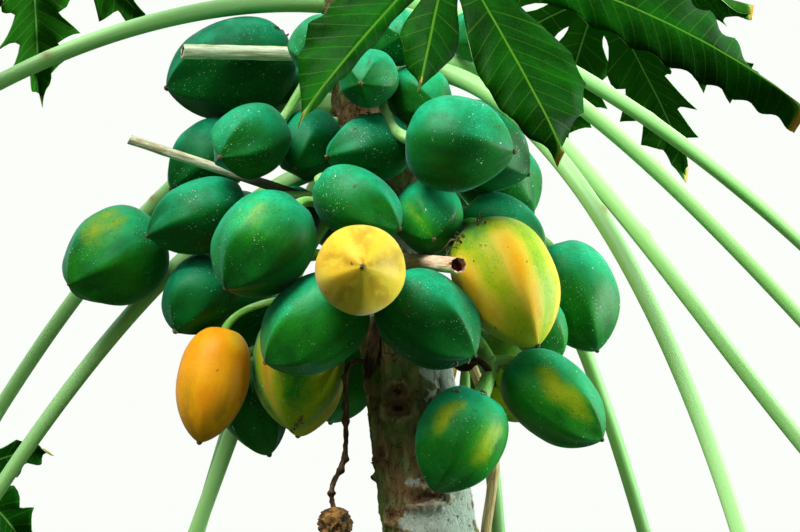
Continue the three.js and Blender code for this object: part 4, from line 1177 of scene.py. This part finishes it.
def root_of(corners):
    """Where a bunch's stalk leaves the trunk, and its direction there."""
    gaps = np.array([
        math.hypot(x - trunk_middle(z).x, y) - trunk_radius(z) for x, y, z in corners
    ])
    ring = corners[gaps < gaps.min() + TRUNK_SKIN].mean(axis=0)
    middle = trunk_middle(ring[2])
    out = Vector((ring[0] - middle.x, ring[1], 0)).normalized()
    return middle + out * (trunk_radius(ring[2]) - ROOT_DEPTH), out


for bunch in sorted({row[0] for row in FRUITS}):
    node_name = f"fruit_{bunch:02d}"
    cad_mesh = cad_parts[node_name].data
    corners = np.unique(np.array([vertex.co[:] for vertex in cad_mesh.vertices]).round(6), axis=0)
    bunch_shape = new_shape("ripe", "valley")
    ends = []
    rows = [row for row in FRUITS if row[0] == bunch]
    for number, (_, turn, dip, length, width, ripe) in enumerate(rows):
        key = (bunch, number)
        axis = fruit_axis(turn, dip)
        turned = Vector((0, -1, 0)).rotation_difference(axis)
        middle = fruit_middle(corners, length, width, turned)
        add_fruit(bunch_shape, middle, turned, length, width, ripe, STRIPES.get(key, []),
                  RIDGE_TOWARDS.get(key), bunch * 10 + number)
        add_threads(bunch_shape, middle, turned, length, width, THREADS.get(key, []), bunch)
        ends.append((middle - axis * (length / 2), axis))
    start, out = root_of(corners)
    stalk_radius = OTHER_RADII.get(bunch, FRUIT_STALK_RADIUS)
    if len(ends) > 1:
        away = bunch in FORKS
        fork = Vector(FORKS[bunch]) if away else start + out * (ROOT_DEPTH + FORK_REACH)
        ahead = -UP if away else out
        neck = stalk_corners(start, out, fork, ahead)
        add_fruit_stalk(bunch_shape, neck, stalk_radius, bunch)
        start, out = fork - ahead * FORK_SINK, ahead
    for number, (end, axis) in enumerate(ends):
        add_fruit_stalk(bunch_shape, stalk_corners(start, out, end, axis), stalk_radius, bunch + number)
    slot = "ripe_fruit" if rows[0][-1] >= RIPE_SLOT_FROM else "green_fruit"
    keep(f"tree_{node_name}", bunch_shape, [fruit_skin, nub_skin, fruit_stalk_skin], slot, node_name)

# Stumps
# What is left of leaf stalks that broke or were cut: pale, fibrous and shrunken, one of them a pink-tan tube
# that was cut aslant and is dark inside. The last has died back and hangs beside the trunk.

# A row has its name, its radius, the slant of its cut, the depth of its hollow and its path.
STUMPS = [
    ("stump_top", 0.009, 0.2, 0.003, (-0.25, -0.02, 2.575), (-0.476, -0.095, 2.552)),
    ("stump_left", 0.006, 0.3, 0.002, (-0.215, -0.03, 2.345), (-0.541, -0.07, 2.445)),
    ("stump_hollow", 0.0095, 0.95, 0.010, (-0.205, -0.03, 2.3), (-0.134, -0.2, 2.247)),
    ("stump_hanging", 0.0065, 0.3, 0.002, (-0.185, 0.02, 2.26), (-0.118, 0.038, 2.19), (-0.086, 0.032, 2.08),
     (-0.098, 0.026, 1.96), (-0.106, 0.025, 1.85)),
]
STUMP_SIDES = 28
STUMP_STEPS = 80
STUMP_SHRINKING = 0.10
STUMP_WAVES = 14
STUMP_FURROWS = 7
STUMP_FURROW = 0.035
STUMP_ROOT_SWELL = 0.3
STUMP_ROOT_REACH = 0.1
CUT_RAGGED = 0.3  # of the radius
CUT_GRAIN = 400
CUT_WALL = 0.22  # how thick the wall round the hollow is, as a share of the radius
PAINTED_SHADE_NEAR_TRUNK = (0.055, 0.060, 0.028, 1)


def fibrous(name, light, dark, stain, shaded_reach):
    """Dead stalk skin with fibres along it and stains, and painted shade on the length nearest the trunk."""
    material, tree, shader, _ = finish(name, roughness=0.8, shine=0.2)
    own = lying(tree)
    fibres = noise_value(tree, stretched(tree, own, (1.0, 1.0, 0.06)), 420.0, 5.0, 0.7)
    colour = layered(tree, stepped(tree, fibres, 0.44, 0.72), light, dark)
    along_stump = stretched(tree, own, (1.0, 1.0, 0.4))
    stained = masked(tree, patches, along_stump, Scale=75.0, Edge=0.57, Softness=0.07)
    colour = layered(tree, times(tree, stained, 0.75), colour, stain)
    dots = masked(tree, specks, own, Scale=210.0, Size=0.2, Share=0.2)
    colour = layered(tree, times(tree, dots, 0.8), colour, dark)
    # Painted shade: the stump darkens towards the trunk, where it lies in shade among the fruit.
    from_trunk = node(tree, "ShaderNodeSeparateXYZ", {0: own}).outputs[2]
    colour = layered(tree, stepped(tree, from_trunk, shaded_reach, 0.7 * shaded_reach, 0.0, 0.9), colour, PAINTED_SHADE_NEAR_TRUNK)
    coloured(tree, shader, colour, fibres, depth=0.002, strength=0.8)
    return material


# The skin of each: its name, its light and dark fibres, its stains, and how far from the trunk it is painted
# in shade.
STUMP_LOOKS = {
    "stump_top": ("pale_stump", (0.85, 0.92, 0.68, 1), (0.42, 0.40, 0.20, 1), (0.50, 0.56, 0.24, 1), 0.08),
    "stump_left": ("grey_stump", (0.84, 0.80, 0.60, 1), (0.36, 0.29, 0.15, 1), (0.46, 0.38, 0.18, 1), 0.24),
    "stump_hollow": ("pink_stump", (0.88, 0.62, 0.46, 1), (0.40, 0.17, 0.08, 1), (0.66, 0.36, 0.20, 1), 0.04),
    "stump_hanging": ("tan_stump", (0.66, 0.48, 0.24, 1), (0.24, 0.14, 0.055, 1), (0.38, 0.22, 0.09, 1),
                      0.03),
}
stump_skins = {name: fibrous(*look) for name, look in STUMP_LOOKS.items()}

HOLLOW_DARK = (0.20, 0.04, 0.025, 1)
HOLLOW_BROWN = (0.50, 0.17, 0.09, 1)

hollow_skin, tree, shader, place = finish("hollow_end", roughness=0.9, shine=0.15)
rot = noise_value(tree, place, 400.0, 5.0)
colour = layered(tree, stepped(tree, rot, 0.45, 0.75), HOLLOW_DARK, HOLLOW_BROWN)
coloured(tree, shader, colour, rot, depth=0.002)


def through(corners, share):
    """A smooth path through all its corners."""
    spans = len(corners) - 1
    span = min(int(share * spans), spans - 1)
    part = share * spans - span
    before, first, last, after = (Vector(corners[min(max(span + step, 0), spans)]) for step in (-1, 0, 1, 2))
    bend = (last - before) / 2
    next_bend = (after - first) / 2
    return (first * (2 * part ** 3 - 3 * part ** 2 + 1) + bend * (part ** 3 - 2 * part ** 2 + part)
            + last * (3 * part ** 2 - 2 * part ** 3) + next_bend * (part ** 3 - part ** 2))


for number, (name, radius, slant, hollow, *path) in enumerate(STUMPS):

    def stump_path(share, path=path):
        return through(path, share)

    def stump_radius(share, turn, radius=radius, number=number):
        spot = Vector((share * STUMP_WAVES, math.cos(turn) * 2, math.sin(turn) * 2 + number))
        furrows = STUMP_FURROW * math.cos(STUMP_FURROWS * turn + 2 * share)
        root = STUMP_ROOT_SWELL * math.exp(-(share / STUMP_ROOT_REACH) ** 2)
        return radius * (1 + STUMP_SHRINKING * noise.noise(spot) + furrows + root)

    stump_shape = new_shape()
    limb(stump_shape, stump_path, stump_radius, STUMP_SIDES, STUMP_STEPS)
    end = stump_path(1)
    ahead = (end - stump_path(0.98)).normalized()
    cut = [face for face in stump_shape.faces
           if len(face.verts) > 4 and (face.calc_center_median() - end).length < radius]
    down = (-UP - ahead * -UP.dot(ahead)).normalized()
    for vertex in verts_of(cut):
        ragged = CUT_RAGGED * noise.noise(vertex.co * CUT_GRAIN)
        vertex.co -= ahead * (radius * slant * (1 - (vertex.co - end).dot(down) / radius + ragged))
    bmesh.ops.inset_region(stump_shape, faces=cut, thickness=radius * CUT_WALL, depth=0)
    pit = bmesh.ops.extrude_face_region(stump_shape, geom=cut)
    deep = [part for part in pit["geom"] if isinstance(part, bmesh.types.BMVert)]
    bmesh.ops.translate(stump_shape, verts=deep, vec=-ahead * hollow)
    for vertex in deep:
        for face in vertex.link_faces:
            face.material_index = 1
    bmesh.ops.delete(stump_shape, geom=cut, context="FACES_ONLY")
    keep("tree_" + name, stump_shape, [stump_skins[name], hollow_skin], "dry_stalk", name)

# Dead bunch
# A dead stub that lies along the trunk, and a thin knobbly stalk with a shrivelled fruit at its end. All of
# it is dry, brown and fibrous, and the stub is rooted in the trunk.
DRY_STUB_FOOT = Vector((-0.222, -0.03, 2.25))
DRY_STUB_END = Vector((-0.243, -0.057, 2.143))
DRY_STUB_RADIUS = 0.008
DRY_STUB_SIDES = 24
DRY_STUB_STEPS = 40
DRY_STUB_ROUGHNESS = 0.22
DRY_STUB_ROUNDED = 0.85  # where its end begins to round off
DRY_STALK_PATH = [
    (-0.225, -0.04, 2.165), (-0.264, -0.068, 2.158), (-0.268, -0.076, 2.105), (-0.269, -0.078, 2.046),
    (-0.284, -0.08, 2.004), (-0.281, -0.08, 1.975),
]
DRY_STALK_RADIUS = 0.0034
DRY_STALK_SIDES = 16
DRY_STALK_STEPS = 130
DRY_KNOTS = (0.28, 0.40, 0.46, 0.62, 0.68, 0.83)
DRY_KNOT_SWELL = 1.1
DRY_KNOT_REACH = 0.016
DRY_KNOT_TURN = 9
DRY_STALK_ROUGHNESS = 0.35
DRY_FRUIT_MIDDLE = Vector((-0.28, -0.08, 1.959))
DRY_FRUIT_LENGTH = 0.046
DRY_FRUIT_WIDTH = 0.04
DRY_FRUIT_SIDES = 60
DRY_FRUIT_RINGS = 40
DRY_FRUIT_FULLNESS = 1.12
DRY_FRUIT_CREASES = 0.45
DRY_BROWN = (0.24, 0.115, 0.025, 1)
DRY_DARK = (0.035, 0.017, 0.007, 1)
STALK_BROWN = (0.13, 0.078, 0.030, 1)

dead_skin, tree, shader, place = finish("dead_fruit", roughness=0.75, shine=0.2)
creases = noise_value(tree, place, 130.0, 6.0, 0.65)
colour = layered(tree, stepped(tree, creases, 0.42, 0.60), DRY_DARK, DRY_BROWN)
coloured(tree, shader, colour, creases, depth=0.003, strength=0.8)

dead_stalk_skin, tree, shader, _ = finish("dead_stalk", roughness=0.85, shine=0.2)
strands = noise_value(tree, stretched(tree, lying(tree), (1.0, 1.0, 0.15)), 330.0, 6.0, 0.7)
colour = layered(tree, stepped(tree, strands, 0.42, 0.66), DRY_DARK, STALK_BROWN)
coloured(tree, shader, colour, strands, depth=0.003, strength=0.9)


def dry_stalk_radius(share, turn):
    knots = sum((0.5 + 0.5 * math.cos(turn - DRY_KNOT_TURN * knot))
                * math.exp(-((share - knot) / DRY_KNOT_REACH) ** 2) for knot in DRY_KNOTS)
    lump = noise.noise(Vector((share * 40, math.cos(turn), math.sin(turn))))
    return DRY_STALK_RADIUS * (0.9 + DRY_KNOT_SWELL * knots + DRY_STALK_ROUGHNESS * lump)


def stub_radius(share, turn):
    lump = noise.noise(Vector((share * 12, math.cos(turn) * 2, math.sin(turn) * 2)))
    rounded = 1 - 0.5 * eased((share - DRY_STUB_ROUNDED) / (1 - DRY_STUB_ROUNDED))
    return DRY_STUB_RADIUS * (1 + DRY_STUB_ROUGHNESS * lump) * rounded


dead_shape = new_shape()
limb(dead_shape, lambda share: DRY_STUB_FOOT.lerp(DRY_STUB_END, share), stub_radius,
     DRY_STUB_SIDES, DRY_STUB_STEPS, material=1)
limb(dead_shape, lambda share: through(DRY_STALK_PATH, share), dry_stalk_radius,
     DRY_STALK_SIDES, DRY_STALK_STEPS, material=1)
husk = bmesh.ops.create_uvsphere(dead_shape, u_segments=DRY_FRUIT_SIDES, v_segments=DRY_FRUIT_RINGS, radius=1)
for vertex in husk["verts"]:
    share = (1 - vertex.co.z) / 2
    angle = math.atan2(vertex.co.y, vertex.co.x)
    creased = abs(noise.noise(vertex.co * 2.6)) + 0.6 * abs(noise.noise(vertex.co * 6))
    fullness = DRY_FRUIT_FULLNESS - DRY_FRUIT_CREASES * creased
    half_width = fruit_profile(share) * fullness * DRY_FRUIT_WIDTH / 2
    vertex.co = DRY_FRUIT_MIDDLE + Vector((
        math.cos(angle) * half_width, math.sin(angle) * half_width, (0.5 - share) * DRY_FRUIT_LENGTH))
keep("tree_dry_bunch", dead_shape, [dead_skin, dead_stalk_skin], "dry_stalk", "dry_bunch")

# Twisted dead stalk
# A dark dry stalk, bare and knotted, in the same dead skin as the dead bunch's. It comes out of the trunk
# and arches over the lowest fruit.
TWIST_PATH = [
    (-0.176, -0.035, 2.176), (-0.148, -0.068, 2.166), (-0.126, -0.086, 2.150), (-0.108, -0.090, 2.158),
    (-0.094, -0.086, 2.142), (-0.090, -0.080, 2.128),
]
TWIST_RADIUS = 0.0048
TWIST_SIDES = 18
TWIST_STEPS = 60
TWIST_NARROWING = 0.35
TWIST_ROUGHNESS = 0.35


def twist_radius(share, turn):
    lump = noise.noise(Vector((share * 12, math.cos(turn) * 1.5, math.sin(turn) * 1.5 + 4)))
    return TWIST_RADIUS * (1.1 - TWIST_NARROWING * share + TWIST_ROUGHNESS * lump)


twist_shape = new_shape()
limb(twist_shape, lambda share: through(TWIST_PATH, share), twist_radius, TWIST_SIDES, TWIST_STEPS)
keep("tree_twisted_stalk", twist_shape, [dead_stalk_skin], "dry_stalk")

# Youngest leaves
# A tuft of small leaves that are still folding open, in the same skins as the grown ones. Each is on its own
# soft stalk, and the stalks are sunk a little into the trunk's tip.
YOUNG_COUNT = 4
YOUNG_FIRST_TURN = 40
YOUNG_HEIGHT = 0.12
YOUNG_SHORTER = 0.16  # how much shorter each one is than the one before, as a share of the first
YOUNG_FOOT_SINK = 0.012
YOUNG_FOOT_REACH = 0.010
YOUNG_SHOULDER_REACH = 0.004
YOUNG_HUB_REACH = 0.022
YOUNG_BLADE = 0.055
YOUNG_PITCH = -52
YOUNG_RADIUS = 0.0038
YOUNG_ELBOW = 0.4  # how far up the stalk its bends are
YOUNG_SHOULDER = 0.8
YOUNG_NARROWING = 0.6
YOUNG_SIDES = 14
YOUNG_STEPS = 24

young_shape = new_shape("tip", "young", "knot")
for number in range(YOUNG_COUNT):
    turn = math.degrees(SCAR_TURN) * number + YOUNG_FIRST_TURN
    tall = YOUNG_HEIGHT * (1 - YOUNG_SHORTER * number)
    foot = trunk_middle(TRUNK_HEIGHT) - UP * YOUNG_FOOT_SINK + heading(turn) * YOUNG_FOOT_REACH
    hub = foot + UP * tall + heading(turn) * YOUNG_HUB_REACH
    shoulder = foot + UP * tall * YOUNG_SHOULDER + heading(turn) * YOUNG_SHOULDER_REACH
    corners = [foot, foot + UP * tall * YOUNG_ELBOW, shoulder, hub]
    top, under, _ = add_blade(young_shape, f"young_{number}", turn, hub, YOUNG_BLADE, YOUNG_PITCH, 0.0, 1.0)
    for face in top:
        face.material_index = 1
    for face in under:
        face.material_index = 2
    limb(young_shape, lambda share: bezier(corners, share),
         lambda share, turn: YOUNG_RADIUS * (1.3 - YOUNG_NARROWING * share), YOUNG_SIDES, YOUNG_STEPS)
keep("tree_youngest_leaves", young_shape, [stalk_skin, blade_top, blade_under], "leaf")

# Floor, light and camera
# A plain pale floor under soft daylight from high on the left, as under an open sky. The camera looks up
# into the fruit.
FLOOR_SIZE = 60.0
CAMERA_PLACE = (-0.203, -2.70459, 1.57531)
CAMERA_TILT = math.radians(105)
CAMERA_LENS = 100
SENSOR = 36
FLOOR_AS_SEEN = (0.45, 0.46, 0.44, 1)
FLOOR_AS_LIT = (0.06, 0.08, 0.04, 1)  # for the light that it throws back up
SKY_AS_SEEN = (0.965, 0.99, 0.95, 1)
SKY_AS_LIT = (0.86, 1.0, 0.95, 1)

floor_shape = bmesh.new()
bmesh.ops.create_grid(floor_shape, x_segments=1, y_segments=1, size=FLOOR_SIZE / 2)
floor_mesh = bpy.data.meshes.new("floor")
floor_shape.to_mesh(floor_mesh)
floor_shape.free()
floor = bpy.data.objects.new("floor", floor_mesh)
bpy.context.scene.collection.objects.link(floor)
floor_finish, tree, shader, _ = finish("floor", roughness=0.9)
by_camera = tree.nodes.new("ShaderNodeLightPath").outputs["Is Camera Ray"]
coloured(tree, shader, layered(tree, by_camera, FLOOR_AS_LIT, FLOOR_AS_SEEN))
floor_mesh.materials.append(floor_finish)

world = bpy.data.worlds.new("daylight")
bpy.context.scene.world = world
world.use_nodes = True
tree = world.node_tree
tree.nodes.clear()
direction = tree.nodes.new("ShaderNodeTexCoord").outputs["Generated"]
height = node(tree, "ShaderNodeSeparateXYZ", {0: direction}).outputs[2]
sky_light = stepped(tree, height, -0.15, 0.8, 0.05, 1.3)
lit = node(tree, "ShaderNodeBackground", {"Color": SKY_AS_LIT, "Strength": sky_light})
seen = node(tree, "ShaderNodeBackground", {"Color": SKY_AS_SEEN, "Strength": 1.0})
by_camera = tree.nodes.new("ShaderNodeLightPath").outputs["Is Camera Ray"]
both = node(tree, "ShaderNodeMixShader", {0: by_camera, 1: lit.outputs[0], 2: seen.outputs[0]})
output = tree.nodes.new("ShaderNodeOutputWorld")
tree.links.new(both.outputs[0], output.inputs["Surface"])


def soft_light(name, place, target, size, power, colour):
    lamp = bpy.data.lights.new(name, "AREA")
    lamp.shape = "DISK"
    lamp.size = size
    lamp.energy = power
    lamp.color = colour
    holder = bpy.data.objects.new(name, lamp)
    holder.location = place
    holder.rotation_euler = (Vector(target) - Vector(place)).to_track_quat("-Z", "Y").to_euler()
    bpy.context.scene.collection.objects.link(holder)


soft_light("sky_opening", (-1.7, -2.5, 5.4), (-0.2, 0, 2.3), 2.4, 400, (1.0, 1.0, 0.95))
soft_light("side_glow", (3.0, 0.2, 2.4), (-0.2, 0, 2.2), 2.2, 260, (0.80, 1.0, 0.90))

scene = bpy.context.scene
scene.view_settings.view_transform = "Standard"
camera = bpy.data.cameras.new("camera")
camera.lens = CAMERA_LENS
camera.sensor_width = SENSOR
holder = bpy.data.objects.new("camera", camera)
holder.location = CAMERA_PLACE
holder.rotation_euler = (CAMERA_TILT, 0, 0)
scene.collection.objects.link(holder)
scene.camera = holder
